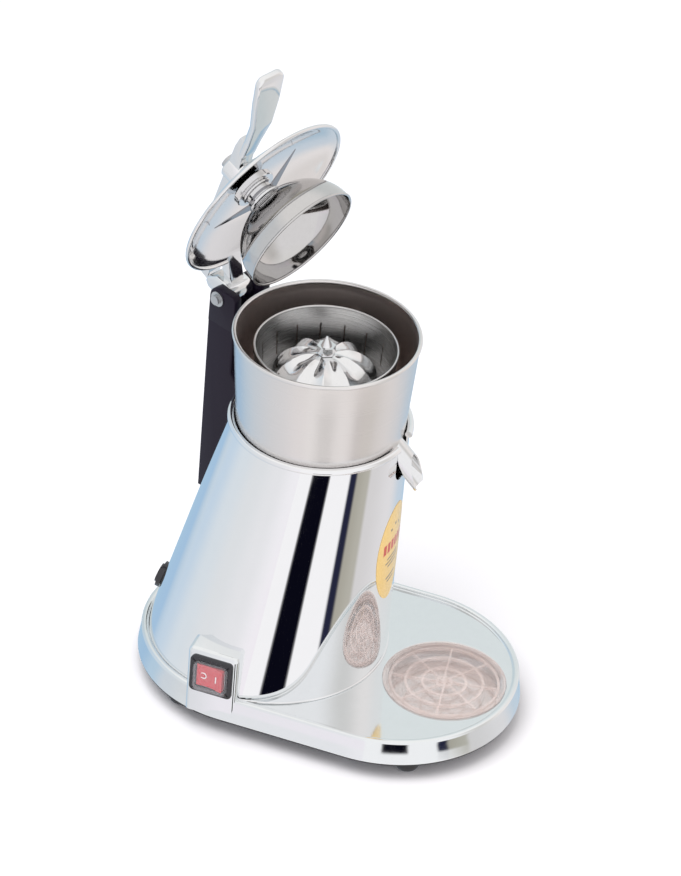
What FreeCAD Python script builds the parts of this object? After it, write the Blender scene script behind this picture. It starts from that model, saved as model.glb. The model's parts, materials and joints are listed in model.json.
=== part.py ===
"""Citrus press with a hinged hand lever, an oblique motor body and a drip tray.

Frame: +Z up, the front faces -Y, the origin is at the bottom centre of the footprint.
The lever is drawn closed over the bowl and then swung open about its hinge pin.
Lengths are in millimetres.
"""
import FreeCAD, Part
import Sketcher
import math
import os

os.makedirs("parts", exist_ok=True)
doc = FreeCAD.newDocument("citrus_press")
V = FreeCAD.Vector

# ---------------------------------------------------------------- driving sizes
SIZES = [
    ("base_length", 316), ("base_width", 208), ("base_skirt", 21), ("base_draft", 6),
    ("base_wall", 3), ("base_rim", 4), ("base_sink", 3), ("base_edge", 2.5),
    ("foot_height", 16), ("foot_radius", 11), ("foot_inset", 18), ("cover_thick", 1.5),
    ("gasket_thick", 1.5), ("screw_radius", 2), ("head_radius", 3.8), ("head_height", 2.4),
    ("fit_gap", 0.3), ("run_gap", 0.05),
    ("axis_y", 23), ("shell_low_radius", 97), ("shell_top_radius", 70.5), ("shell_wall", 1.5),
    ("shell_height", 219), ("lip_bead", 3), ("flange_width", 9), ("flange_thick", 4),
    ("notch_width", 23), ("notch_depth", 34), ("foot_flange", 9),
    ("deck_thick", 3),
    ("bowl_foot_radius", 67), ("bowl_rim_radius", 75), ("bowl_height", 97), ("bowl_wall", 1.2),
    ("bowl_bead", 1.8), ("hub_bore", 13), ("hub_height", 33), ("hub_step", 4),
    ("spout_radius", 10), ("spout_wall", 1.3), ("spout_reach", 46), ("spout_slope", 45),
    ("strainer_radius", 56.5), ("strainer_taper", 3.5), ("strainer_height", 60),
    ("strainer_wall", 0.8), ("slot_count", 18), ("slot_width", 1.3), ("slot_height", 22),
    ("slot_below_rim", 16),
    ("reamer_radius", 41), ("reamer_skirt", 13), ("reamer_dome", 27), ("reamer_lift", 5),
    ("reamer_wall", 2), ("rib_count", 10), ("rib_width", 3), ("rib_height", 2.4),
    ("nut_across", 13), ("nut_height", 7), ("spike_height", 8),
    ("shaft_radius", 6), ("shaft_end_radius", 4),
    ("motor_radius", 50), ("stack_height", 56), ("coil_height", 14), ("rotor_radius", 27),
    ("air_gap", 0.5), ("bell_thick", 4), ("bell_radius", 59), ("bearing_radius", 13),
    ("bearing_height", 9), ("motor_drop", 34), ("bolt_circle", 53),
    ("fan_radius", 44), ("fan_height", 10), ("fan_blades", 8),
    ("tray_radius", 48), ("tray_back", 121.5), ("tray_wall", 1.5),
    ("tray_flange", 1.8), ("grid_thick", 2), ("grid_spokes", 8),
    ("switch_y", 62), ("housing_length", 43), ("housing_height", 63), ("housing_wall", 2.5),
    ("bezel_length", 36), ("bezel_height", 34), ("bezel_thick", 2.5), ("bezel_border", 6),
    ("rocker_throw", 7), ("boot_wall", 1), ("boot_height", 3.4),
    ("lever_turn", 22.5), ("column_width", 40), ("column_reach", 109), ("column_depth", 28),
    ("ear_radius", 9), ("hinge_rise", 71.5), ("hinge_set", 9.5),
    ("ear_slot", 24), ("pin_radius", 4), ("clip_thick", 1),
    ("dish_radius", 78), ("dish_dome", 20), ("dish_wall", 1.2), ("dish_clear", 1),
    ("dish_bead", 1.6), ("cup_radius", 49.5), ("cup_depth", 43), ("cup_wall", 1.2),
    ("cup_bead", 1.1), ("cup_drop", 44.5), ("boss_radius", 18), ("stem_radius", 11.5),
    ("leaf_half", 44), ("leaf_width", 11), ("leaf_thick", 1.5), ("leaf_rise", 9),
    ("arm_width", 14), ("paddle_width", 28), ("paddle_end", 105), ("lever_open", 69),
    ("label_wide", 50), ("label_tall", 92), ("label_thick", 0.3),
    ("gland_radius", 8), ("gland_bore", 3.6), ("capacitor_radius", 17),
    ("capacitor_height", 46), ("wiring_radius", 46),
]

sheet = doc.addObject("Spreadsheet::Sheet", "Sizes")
for row, (alias, amount) in enumerate(SIZES, start=1):
    sheet.set("A%d" % row, alias)
    sheet.set("B%d" % row, repr(amount))
    sheet.setAlias("B%d" % row, alias)
doc.recompute()


class Size:
    """A number together with the formula that gives it from the sheet."""

    def __init__(self, value, text):
        self.value = value
        self.text = text

    @staticmethod
    def of(item):
        return item if isinstance(item, Size) else Size(float(item), "(%r)" % float(item))

    def __add__(self, other):
        other = Size.of(other)
        return Size(self.value + other.value, "(%s + %s)" % (self.text, other.text))

    def __sub__(self, other):
        other = Size.of(other)
        return Size(self.value - other.value, "(%s - %s)" % (self.text, other.text))

    def __mul__(self, other):
        other = Size.of(other)
        return Size(self.value * other.value, "(%s * %s)" % (self.text, other.text))

    def __truediv__(self, other):
        other = Size.of(other)
        return Size(self.value / other.value, "(%s / %s)" % (self.text, other.text))

    def __radd__(self, other):
        return Size.of(other) + self

    def __rsub__(self, other):
        return Size.of(other) - self

    def __rmul__(self, other):
        return Size.of(other) * self

    def __neg__(self):
        return Size(-self.value, "(-%s)" % self.text)


def root(item):
    item = Size.of(item)
    return Size(math.sqrt(item.value), "sqrt(%s)" % item.text)


def sine(item):
    item = Size.of(item)
    return Size(math.sin(math.radians(item.value)), "sin(%s * 1 deg)" % item.text)


def cosine(item):
    item = Size.of(item)
    return Size(math.cos(math.radians(item.value)), "cos(%s * 1 deg)" % item.text)


class Sheet:
    """Reads any alias of the sheet as a Size."""

    def __getattr__(self, alias):
        return Size(float(sheet.get(alias)), "Sizes." + alias)


S = Sheet()
nodes = {}


def bind(item, **sizes):
    """Sets properties of an object from Sizes."""
    for name, size in sizes.items():
        item.setExpression(name, Size.of(size).text)
    return item


def put(item, x=0, y=0, z=0):
    """Places an object at a point, without turning it."""
    for letter, size in zip("xyz", (x, y, z)):
        item.setExpression("Placement.Base." + letter, Size.of(size).text)
    return item


def turn(item, axis, angle):
    """Turns an object about its own origin by an angle in degrees."""
    item.Placement.Rotation = FreeCAD.Rotation(V(*axis), Size.of(angle).value)
    item.setExpression("Placement.Rotation.Angle", Size.of(angle).text)
    return item


def made(label, item):
    """Keeps an object as a finished piece under its name."""
    item.Label = label
    nodes[label] = item
    return item


count = [0]


def fresh(kind):
    """Adds an unnamed helper object."""
    count[0] += 1
    return doc.addObject(kind, "step%03d" % count[0])


def box(x, y, z, at=(0, 0, 0)):
    item = bind(fresh("Part::Box"), Length=x, Width=y, Height=z)
    return put(item, *at)


def cylinder(radius, height, at=(0, 0, 0), tilt=None):
    item = put(bind(fresh("Part::Cylinder"), Radius=radius, Height=height), *at)
    return turn(item, *tilt) if tilt else item


def cone(low, top, height, at=(0, 0, 0)):
    return put(bind(fresh("Part::Cone"), Radius1=low, Radius2=top, Height=height), *at)


def torus(radius, bead, at=(0, 0, 0)):
    return put(bind(fresh("Part::Torus"), Radius1=radius, Radius2=bead), *at)


def cut(base, *tools):
    for tool in tools:
        item = fresh("Part::Cut")
        item.Base, item.Tool = base, tool
        base = item
    return base


def common(*items):
    item = fresh("Part::MultiCommon")
    item.Shapes = list(items)
    return item


def fuse(*items):
    item = fresh("Part::MultiFuse")
    item.Shapes = list(items)
    return item


def group(*items):
    item = fresh("Part::Compound")
    item.Links = list(items)
    return item


class Arc:
    """An arc of a profile, from the point before it to the one after it.

    side is 1 with the centre to the left of the direction of travel, else -1.
    """

    def __init__(self, radius, side):
        self.radius = Size.of(radius)
        self.side = side


def place_point(sketch, index, which, across, up):
    """Fixes one point of a sketch line by its two distances from the origin."""
    for kind, size in (("DistanceX", across), ("DistanceY", up)):
        if abs(size.value) < 1e-9 and size.text in ("(0.0)",):
            axis = -2 if kind == "DistanceX" else -1
            sketch.addConstraint(Sketcher.Constraint("PointOnObject", index, which, axis))
            continue
        if size.value < 0:
            ends, size = (index, which, -1, 1), -size
        else:
            ends = (-1, 1, index, which)
        number = sketch.addConstraint(Sketcher.Constraint(kind, *ends, size.value))
        sketch.setExpression("Constraints[%d]" % number, size.text)


def arc_edge(start, end, arc):
    middle = (start + end) * 0.5
    chord = end - start
    reach = math.sqrt(max(arc.radius.value ** 2 - (chord.Length / 2) ** 2, 0))
    left = V(-chord.y, chord.x, 0).normalize()
    centre = middle + left * reach * arc.side
    first = math.atan2(start.y - centre.y, start.x - centre.x)
    last = math.atan2(end.y - centre.y, end.x - centre.x)
    circle = Part.Circle(centre, V(0, 0, 1), arc.radius.value)
    if arc.side > 0:
        return Part.ArcOfCircle(circle, first, last), 1, 2
    return Part.ArcOfCircle(circle, last, first), 2, 1


def closed_profile(sketch, *points):
    """Draws one closed outline from (across, up) pairs with Arcs between them."""
    corners = [p for p in points if not isinstance(p, Arc)]
    corners = [(Size.of(a), Size.of(b)) for a, b in corners]
    arcs = {}
    index = -1
    for item in points:
        if isinstance(item, Arc):
            arcs[index] = item
        else:
            index += 1
    total = len(corners)
    offset = sketch.GeometryCount
    ends = []
    for i in range(total):
        start = V(corners[i][0].value, corners[i][1].value, 0)
        finish_at = corners[(i + 1) % total]
        finish = V(finish_at[0].value, finish_at[1].value, 0)
        if i in arcs:
            edge, first, last = arc_edge(start, finish, arcs[i])
        else:
            edge, first, last = Part.LineSegment(start, finish), 1, 2
        sketch.addGeometry(edge, False)
        ends.append((first, last))
    for i in range(total):
        after = (i + 1) % total
        sketch.addConstraint(Sketcher.Constraint(
            "Coincident", offset + i, ends[i][1], offset + after, ends[after][0]))
    for i, (across, up) in enumerate(corners):
        place_point(sketch, offset + i, ends[i][0], across, up)
    for i, arc in arcs.items():
        number = sketch.addConstraint(
            Sketcher.Constraint("Radius", offset + i, arc.radius.value))
        sketch.setExpression("Constraints[%d]" % number, arc.radius.text)


def plane_of(body, role):
    return next(f for f in body.Origin.OriginFeatures if f.Role == role)


def sketch_on(body, role, lift=None):
    sketch = body.newObject("Sketcher::SketchObject", body.Name + "_sketch")
    sketch.AttachmentSupport = [(plane_of(body, role), "")]
    sketch.MapMode = "FlatFace"
    if lift is not None:
        sketch.setExpression("AttachmentOffset.Base.z", Size.of(lift).text)
    return sketch


def turned(*profiles, at=(0, 0, 0)):
    """A body turned about the vertical through a point, from (radius, height) outlines."""
    body = fresh("PartDesign::Body")
    sketch = sketch_on(body, "XZ_Plane")
    for points in profiles:
        closed_profile(sketch, *points)
    feature = body.newObject("PartDesign::Revolution", body.Name + "_turn")
    feature.Profile = sketch
    feature.ReferenceAxis = (sketch, ["V_Axis"])
    feature.Angle = 360
    sketch.Visibility = False
    body.Tip = feature
    return put(body, *at)


def stadium(sketch, half_width, half_straight):
    """Two straight sides along Y joined by half circles."""
    w, run = half_width.value, half_straight.value
    up = V(0, 0, 1)
    sketch.addGeometry(Part.LineSegment(V(-w, -run, 0), V(-w, run, 0)), False)
    rear = Part.ArcOfCircle(Part.Circle(V(0, run, 0), up, w), 0, math.pi)
    sketch.addGeometry(rear, False)
    sketch.addGeometry(Part.LineSegment(V(w, run, 0), V(w, -run, 0)), False)
    front = Part.ArcOfCircle(Part.Circle(V(0, -run, 0), up, w), math.pi, 2 * math.pi)
    sketch.addGeometry(front, False)
    for first, end, second, start in ((0, 2, 1, 2), (1, 1, 2, 1), (2, 2, 3, 2), (3, 1, 0, 1)):
        sketch.addConstraint(Sketcher.Constraint("Tangent", first, end, second, start))
    sketch.addConstraint(Sketcher.Constraint("Vertical", 0))
    sketch.addConstraint(Sketcher.Constraint("PointOnObject", 1, 3, -2))
    sketch.addConstraint(Sketcher.Constraint("PointOnObject", 3, 3, -2))
    for ends, size in (((-1, 1, 1, 3), half_straight), ((3, 3, -1, 1), half_straight)):
        number = sketch.addConstraint(Sketcher.Constraint("DistanceY", *ends, size.value))
        sketch.setExpression("Constraints[%d]" % number, size.text)
    number = sketch.addConstraint(Sketcher.Constraint("Radius", 1, w))
    sketch.setExpression("Constraints[%d]" % number, half_width.text)


def stadium_slab(half_width, half_straight, low, height, draft=None):
    """A stadium plate from a height up, with an optional inward draft."""
    body = fresh("PartDesign::Body")
    sketch = sketch_on(body, "XY_Plane")
    stadium(sketch, half_width, half_straight)
    feature = body.newObject("PartDesign::Pad", body.Name + "_pad")
    feature.Profile = sketch
    bind(feature, Length=height)
    if draft is not None:
        feature.TaperAngle = -draft.value
        feature.setExpression("TaperAngle", (-draft).text)
    body.Tip = feature
    return put(body, 0, 0, low)


def side_slab(width, *points):
    """A plate of a width in X, centred on the middle plane, from (y, z) outlines."""
    body = fresh("PartDesign::Body")
    sketch = sketch_on(body, "YZ_Plane")
    closed_profile(sketch, *points)
    feature = body.newObject("PartDesign::Pad", body.Name + "_pad")
    feature.Profile = sketch
    bind(feature, Length=width)
    feature.Midplane = True
    body.Tip = feature
    return body


def frame_of(label):
    """A point that carries the placement of a whole group."""
    item = doc.addObject("Part::Vertex", label)
    item.Label = label
    return item


def carried(item, frame, at_y=0):
    """Fixes an object to a frame, with its own origin at a distance along Y."""
    step = "placement(vector(0; %s; 0); rotation(vector(0; 0; 1); 0))" % Size.of(at_y).text
    item.setExpression("Placement", "%s.Placement * %s" % (frame.Name, step))
    return item


# ------------------------------------------------------------- shared positions
half_width = S.base_width / 2
half_straight = S.base_length / 2 - half_width
base_top = S.foot_height + S.base_skirt
deck_z = base_top - S.base_sink
shell_top_z = deck_z + S.shell_height
motor_deck_z = shell_top_z - 14
bowl_rim_z = motor_deck_z + S.bowl_height
strainer_floor_z = motor_deck_z + S.hub_height - 9
strainer_rim_z = strainer_floor_z + S.strainer_height
reamer_low_z = motor_deck_z + S.hub_height + S.reamer_lift
reamer_top_z = reamer_low_z + S.reamer_skirt + S.reamer_dome
hinge_y = S.axis_y + S.column_reach - S.hinge_set
hinge_z = shell_top_z + S.hinge_rise
axis = (0, S.axis_y, 0)

# The hinge column stands beside the rear, turned about the bowl's axis.
turned_frame = turn(frame_of("turned_frame"), (0, 0, 1), -S.lever_turn)
put(turned_frame, -S.axis_y * sine(S.lever_turn), S.axis_y * (1 - cosine(S.lever_turn)), 0)
swing_frame = turn(frame_of("swing_frame"), (1, 0, 0), -S.lever_open)
put(swing_frame, 0, hinge_y - hinge_y * cosine(S.lever_open) - hinge_z * sine(S.lever_open),
    hinge_z + hinge_y * sine(S.lever_open) - hinge_z * cosine(S.lever_open))
lever_frame = frame_of("lever_frame")
lever_frame.setExpression("Placement", "turned_frame.Placement * swing_frame.Placement")


def plan_slab(height, *points):
    """A plate of a height in Z from an outline in plan."""
    body = fresh("PartDesign::Body")
    sketch = sketch_on(body, "XY_Plane")
    closed_profile(sketch, *points)
    feature = body.newObject("PartDesign::Pad", body.Name + "_pad")
    feature.Profile = sketch
    bind(feature, Length=height)
    body.Tip = feature
    return body


def polar(radius, angle, centre_y):
    """A point on a circle about (0, centre_y)."""
    turn_by = Size.of(angle)
    return radius * cosine(turn_by), centre_y + radius * sine(turn_by)


# ------------------------------------------------------------- base and bottom
def base_pieces():
    wall = S.base_wall
    outside = stadium_slab(half_width, half_straight, S.foot_height, S.base_skirt, S.base_draft)
    sink = stadium_slab(half_width - S.base_rim - 3, half_straight, deck_z, S.base_sink + 1)
    under_height = S.base_skirt - S.base_sink - wall
    under = stadium_slab(half_width - wall - 2.5, half_straight, S.foot_height - 1,
                         under_height + 1)
    block_x = half_width - 1
    block = box(34, S.housing_length, S.housing_height,
                (-block_x, S.switch_y - S.housing_length / 2, S.foot_height + 1))
    room = S.housing_wall
    hollow = box(34, S.housing_length - 2 * room, S.housing_height - room + 2,
                 (-block_x + room, S.switch_y - S.housing_length / 2 + room, S.foot_height - 1))
    window_y = S.bezel_length - 2 * S.bezel_border + 6
    window_z = S.bezel_height - 2 * S.bezel_border + 6
    window = box(20, window_y, window_z,
                 (-block_x - 2, S.switch_y - window_y / 2, switch_z() - window_z / 2))
    well_z = S.foot_height + 3
    tray_y = S.axis_y - S.tray_back
    well = cylinder(S.tray_radius + S.tray_wall + S.fit_gap, deck_z - well_z, (0, tray_y, well_z))
    well_room = cylinder(S.tray_radius + S.fit_gap, S.base_skirt,
                         (0, tray_y, well_z + S.tray_wall))
    wiring = cylinder(S.wiring_radius, 30, (0, half_straight, S.foot_height + 5))
    capacitor_hole = cylinder(4, 30, (*capacitor_at(), S.foot_height + 5))
    posts = [cylinder(5, under_height + 1, (x, y, S.foot_height)) for x, y in cover_screw_points()]
    holes = [cylinder(S.screw_radius, 12, (x, y, S.foot_height - 1))
             for x, y in cover_screw_points()]
    holes += [cylinder(S.screw_radius, 20, (x, y, deck_z - 10)) for x, y in body_screw_points()]
    casting = cut(outside, sink, under)
    casting = fuse(casting, block, well, *posts)
    casting = cut(casting, hollow, window, well_room, wiring, capacitor_hole, *holes)
    made("base_casting", casting)

    edge = stadium_slab(half_width - 0.6, half_straight, S.foot_height - S.gasket_thick,
                        S.gasket_thick)
    inner = stadium_slab(half_width - 5, half_straight, S.foot_height - 3, 6)
    made("base_gasket", cut(edge, inner))

    plate_z = S.foot_height - S.gasket_thick
    plate = stadium_slab(half_width - 5 - S.fit_gap, half_straight, plate_z, S.cover_thick)
    tools = []
    for x, y in cover_screw_points():
        tools.append(cylinder(S.screw_radius + 0.2, 6, (x, y, plate_z - 2)))
    for x, y in foot_points():
        tools.append(cylinder(S.screw_radius, 6, (x, y, plate_z - 2)))
    for step in range(5):
        tools.append(box(70, 4, 6, (-35, half_straight - 26 + 12 * step, plate_z - 2)))
    made("bottom_cover", cut(plate, *tools))
    heads = []
    for x, y in cover_screw_points():
        head = cylinder(S.head_radius, S.head_height, (x, y, plate_z - S.head_height))
        stem = cylinder(S.screw_radius, 10, (x, y, plate_z - 0.5))
        heads.append(fuse(head, stem))
    made("cover_screws", group(*heads))


def switch_z():
    return S.foot_height + S.base_skirt / 2 + 29.5


def cover_screw_points():
    reach = half_width - 13
    return [(side * reach, half_straight * place) for side in (-1, 1) for place in (-0.9, 0.9)]


def foot_points():
    reach = half_width - S.foot_inset
    return [(side * reach * 0.866, end * (half_straight + reach * 0.5))
            for side in (-1, 1) for end in (-1, 1)]


def capacitor_at():
    return polar(66, 35, half_straight)


def body_screw_points():
    reach = S.shell_low_radius - S.foot_flange
    return [polar(reach, angle, half_straight) for angle in (45, 135, 225, 315)]


def feet():
    plate_z = S.foot_height - S.gasket_thick
    tall = plate_z
    pads, screws = [], []
    for x, y in foot_points():
        low, top = S.foot_radius * 0.72, S.foot_radius
        rubber = turned(
            ((S.head_radius + 0.6, 0), (low, 0), Arc(low * 0.9, 1), (top, tall * 0.6), (top, tall),
             (S.screw_radius, tall), (S.screw_radius, tall - 5), (S.head_radius + 0.6, tall - 5)),
            at=(x, y, 0))
        pads.append(rubber)
        head = cylinder(S.head_radius, 3, (x, y, tall - 8))
        stem = cylinder(S.screw_radius, 5 + S.cover_thick + 2, (x, y, tall - 5.2))
        screws.append(fuse(head, stem))
    made("rubber_feet", group(*pads))
    made("foot_screws", group(*screws))


# ---------------------------------------------------------------------- shell
def shell_loft(inset, low=None):
    """The oblique cone of the shell, moved in from its outside by an inset."""
    rings = []
    low_z = deck_z
    for radius, y, z in ((S.shell_low_radius, half_straight, low_z),
                         (S.shell_top_radius, S.axis_y, shell_top_z)):
        ring = put(bind(fresh("Part::Circle"), Radius=radius - inset), 0, y, z)
        rings.append(ring)
    item = fresh("Part::Loft")
    item.Sections = rings
    item.Solid = True
    item.Ruled = True
    return item


def shell():
    outer = shell_loft(0)
    inner = shell_loft(S.shell_wall)
    skin = cut(outer, inner)
    lip = torus(S.shell_top_radius, S.lip_bead, (0, S.axis_y, shell_top_z))
    bowl_room = cylinder(S.shell_top_radius - S.shell_wall, 40, (0, S.axis_y, shell_top_z - 10))
    flange_z = motor_deck_z - S.flange_thick - S.deck_thick
    disc = cylinder(S.shell_top_radius + 20, S.flange_thick, (0, S.axis_y, flange_z))
    hole = cylinder(S.bowl_foot_radius - S.flange_width, 30, (0, S.axis_y, flange_z - 5))
    flange = cut(common(shell_loft(S.shell_wall / 2), disc), hole)
    foot_disc = cylinder(S.shell_low_radius + 10, 2, (0, half_straight, deck_z))
    foot_hole = cylinder(S.shell_low_radius - S.foot_flange - 5, 20,
                         (0, half_straight, deck_z - 5))
    foot_ring = cut(common(shell_loft(S.shell_wall / 2), foot_disc), foot_hole)
    skin = fuse(skin, cut(lip, bowl_room), flange, foot_ring)
    notch = box(S.notch_width, 60, S.notch_depth + 20,
                (-S.notch_width / 2, S.axis_y - S.shell_top_radius - 30, shell_top_z - S.notch_depth))
    gap = S.fit_gap
    housing = box(60, S.housing_length + 2 * gap, S.housing_height + 1 + gap,
                  (-half_width - 10, S.switch_y - S.housing_length / 2 - gap, S.foot_height))
    inlet = cylinder(S.gland_radius + 0.1, 40, gland_at(), ((1, 0, 0), -90 + gland_tilt()))
    screws = [carried(group(item), turned_frame) for item in column_screw_holes()]
    anchors = [cylinder(S.screw_radius, 20, (x, y, deck_z - 10)) for x, y in body_screw_points()]
    bolts = [cylinder(S.screw_radius, 30, (x, y, motor_deck_z - 20))
             for x, y in deck_screw_points()]
    made("body_shell", cut(skin, notch, housing, inlet, *screws, *bolts, *anchors))
    low = deck_z - S.base_wall
    fixings = [fuse(cylinder(S.screw_radius, S.base_wall + 4.5, (x, y, low - 0.5)),
                    cylinder(S.head_radius, S.head_height, (x, y, low - S.head_height)))
               for x, y in body_screw_points()]
    made("body_screws", group(*fixings))


def column_screw_holes():
    """Straight holes along the turned frame's Y for the column's screws."""
    return [cylinder(S.screw_radius + 0.8, 50, (0, S.axis_y + 50, z), ((1, 0, 0), -90))
            for z in column_screw_heights()]


def gland_tilt():
    """How far the shell's rear slopes in from the vertical, in degrees."""
    run = (half_straight + S.shell_low_radius) - (S.axis_y + S.shell_top_radius)
    slope = math.degrees(math.atan2(run.value, S.shell_height.value))
    return Size(slope, "(atan(%s / Sizes.shell_height) / 1 deg)" % run.text)


def gland_at():
    """A point on the gland's axis, inside the shell's rear wall."""
    rise = 24
    run = (half_straight + S.shell_low_radius) - (S.axis_y + S.shell_top_radius)
    surface = half_straight + S.shell_low_radius - run * rise / S.shell_height
    return 0, surface - 14 * cosine(gland_tilt()), deck_z + rise - 14 * sine(gland_tilt())


def column_screw_heights():
    return shell_top_z - 60, shell_top_z - 34


def deck_screw_points():
    reach = S.bowl_foot_radius - 4.6
    return [polar(reach, angle, S.axis_y) for angle in (45, 135, 225, 315)]


# ----------------------------------------------------------- bowl and strainer
def bowl():
    t = S.bowl_wall
    low = motor_deck_z
    lip_z = shell_top_z + 4
    rim = S.bowl_rim_radius - S.bowl_bead
    hub = S.hub_bore
    step_z = strainer_floor_z
    top = low + S.hub_height
    wall = turned(
        ((hub, low), (S.bowl_foot_radius, low), (S.bowl_foot_radius, lip_z),
         (rim, bowl_rim_z - S.bowl_bead), (rim - t, bowl_rim_z - S.bowl_bead),
         (S.bowl_foot_radius - t, lip_z), (S.bowl_foot_radius - t, low + t),
         (hub + S.hub_step, low + t), (hub + S.hub_step, step_z), (hub + t, step_z),
         (hub + t, top), (hub, top)), at=axis)
    bead = torus(rim - t / 2, S.bowl_bead, (0, S.axis_y, bowl_rim_z - S.bowl_bead))
    mouth = cylinder(S.spout_radius - S.spout_wall, 60, spout_root(), ((1, 0, 0), spout_angle()))
    tube = cylinder(S.spout_radius, S.spout_reach, spout_root(), ((1, 0, 0), spout_angle()))
    bore = cylinder(S.spout_radius - S.spout_wall, S.spout_reach + 4, spout_root(),
                    ((1, 0, 0), spout_angle()))
    outside = cylinder(S.bowl_foot_radius, 80, (0, S.axis_y, low - 30))
    spout = cut(tube, bore, outside, beak_tool())
    made("juice_bowl", cut(fuse(wall, bead), common(mouth, cylinder(
        S.bowl_foot_radius + 2, 60, (0, S.axis_y, low + t)))))
    made("spout_tube", spout)


def spout_root():
    """The start of the spout's axis, inside the bowl near its front wall."""
    return 0, S.axis_y - S.bowl_foot_radius + 10, motor_deck_z + 13


def spout_angle():
    """The turn about X that points a vertical cylinder down the spout."""
    return 90 + S.spout_slope


def beak_tool():
    """Removes the upper half of the spout's outer end."""
    slope = S.spout_slope
    start = 27
    root = spout_root()
    y = root[1] - start * cosine(slope) - 2 * sine(slope)
    z = root[2] - start * sine(slope) + 2 * cosine(slope)
    return put(turn(box(40, 60, 40), (1, 0, 0), slope), -20,
               y - 60 * cosine(slope), z - 60 * sine(slope))


def strainer():
    t = S.strainer_wall
    top = S.strainer_radius
    low = top - S.strainer_taper
    z = strainer_floor_z
    hole = S.hub_bore + S.bowl_wall + S.fit_gap
    cup = turned(((hole, z), (low, z), (top, strainer_rim_z - 1), (top - t, strainer_rim_z - 1),
                  (low - t, z + t), (hole, z + t)), at=axis)
    bead = torus(top - t / 2, 1, (0, S.axis_y, strainer_rim_z - 1))
    slots = []
    total = int(S.slot_count.value)
    slot_z = strainer_rim_z - S.slot_below_rim - S.slot_height
    for number in range(total):
        slot = box(top + 5, S.slot_width, S.slot_height, (0, S.axis_y, slot_z))
        slots.append(turn(slot, (0, 0, 1), 360.0 / total * number + 5))
    for number in range(total):
        slot = box(low - 8, S.slot_width, 6, (0, S.axis_y, z - 3))
        slots.append(turn(slot, (0, 0, 1), 360.0 / total * number + 5))
    hub = cylinder(hole + 5, 12, (0, S.axis_y, z - 5))
    made("strainer", cut(fuse(cup, bead), cut(fuse(*slots), hub)))


def seal():
    low = motor_deck_z + S.hub_height - 8
    made("shaft_seal", turned(
        ((S.shaft_radius + S.run_gap, low), (S.hub_bore, low), (S.hub_bore, low + 7),
         (S.shaft_radius + S.run_gap, low + 7)), at=axis))


# ------------------------------------------------------------------- motor
upper_bell_z = motor_deck_z - S.deck_thick - S.motor_drop
stack_top_z = upper_bell_z - S.bell_thick - 20
stack_low_z = stack_top_z - S.stack_height
lower_bell_z = stack_low_z - 20 - S.bell_thick


def motor():
    hole = S.shaft_radius + 1
    seat = S.bearing_radius
    coil_room = S.motor_radius - 3
    made("stator_core", turned(
        ((S.rotor_radius + S.air_gap, stack_low_z), (S.motor_radius, stack_low_z),
         (S.motor_radius, stack_top_z), (S.rotor_radius + S.air_gap, stack_top_z)), at=axis))
    for name, low in (("windings_upper", stack_top_z),
                      ("windings_lower", stack_low_z - S.coil_height)):
        made(name, turned(
            ((S.rotor_radius + 5, low), (S.motor_radius - 5, low),
             (S.motor_radius - 5, low + S.coil_height), (S.rotor_radius + 5, low + S.coil_height)),
            at=axis))
    made("motor_bell_upper", drilled(turned(
        ((hole, upper_bell_z - S.bell_thick), (seat, upper_bell_z - S.bell_thick),
         (seat, upper_bell_z - S.bell_thick - S.bearing_height),
         (seat + 4, upper_bell_z - S.bell_thick - S.bearing_height),
         (seat + 4, upper_bell_z - S.bell_thick), (coil_room, upper_bell_z - S.bell_thick),
         (coil_room, stack_top_z), (S.motor_radius, stack_top_z),
         (S.motor_radius, upper_bell_z - S.bell_thick),
         (S.bell_radius, upper_bell_z - S.bell_thick), (S.bell_radius, upper_bell_z),
         (hole, upper_bell_z)), at=axis)))
    plate = lower_bell_z + S.bell_thick
    made("motor_bell_lower", drilled(turned(
        ((hole, lower_bell_z), (S.bell_radius, lower_bell_z), (S.bell_radius, plate),
         (S.motor_radius, plate), (S.motor_radius, stack_low_z), (coil_room, stack_low_z),
         (coil_room, plate), (seat + 4, plate), (seat + 4, plate + S.bearing_height),
         (seat, plate + S.bearing_height), (seat, plate), (hole, plate)), at=axis)))
    for name, low in (("bearing_upper", upper_bell_z - S.bell_thick - S.bearing_height),
                      ("bearing_lower", plate)):
        made(name, turned(
            ((S.shaft_radius + 0.02, low), (seat, low), (seat, low + S.bearing_height),
             (S.shaft_radius + 0.02, low + S.bearing_height)), at=axis))
    bolts, spacers = [], []
    for x, y in motor_bolt_points():
        bolt = cylinder(S.screw_radius, motor_deck_z - lower_bell_z + 0.5,
                        (x, y, lower_bell_z - 0.5))
        head = cylinder(S.head_radius, 3, (x, y, lower_bell_z - 3))
        bolts.append(cut(fuse(bolt, head), cylinder(10, 10, (x, y, motor_deck_z))))
        spacer = cylinder(4.5, S.motor_drop, (x, y, upper_bell_z))
        bore = cylinder(S.screw_radius + 0.2, S.motor_drop + 4, (x, y, upper_bell_z - 2))
        spacers.append(cut(spacer, bore))
    made("motor_bolts", group(*bolts))
    made("motor_spacers", group(*spacers))
    deck_low = motor_deck_z - S.deck_thick
    deck = turned(((hole + 1, deck_low), (S.bowl_foot_radius - 0.5, deck_low),
                   (S.bowl_foot_radius - 0.5, motor_deck_z), (hole + 1, motor_deck_z)), at=axis)
    tools = [cylinder(S.screw_radius, 20, (x, y, deck_low - 5)) for x, y in motor_bolt_points()]
    tools += [cylinder(S.screw_radius, 20, (x, y, deck_low - 5)) for x, y in deck_screw_points()]
    made("motor_deck", cut(deck, *tools))
    screws = [fuse(cylinder(S.screw_radius, S.deck_thick + S.flange_thick + 2,
                            (x, y, deck_low - S.flange_thick - 2)),
                   cylinder(S.head_radius, 2.5, (x, y, deck_low - S.flange_thick - 2.5)))
              for x, y in deck_screw_points()]
    made("deck_screws", group(*screws))


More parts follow.
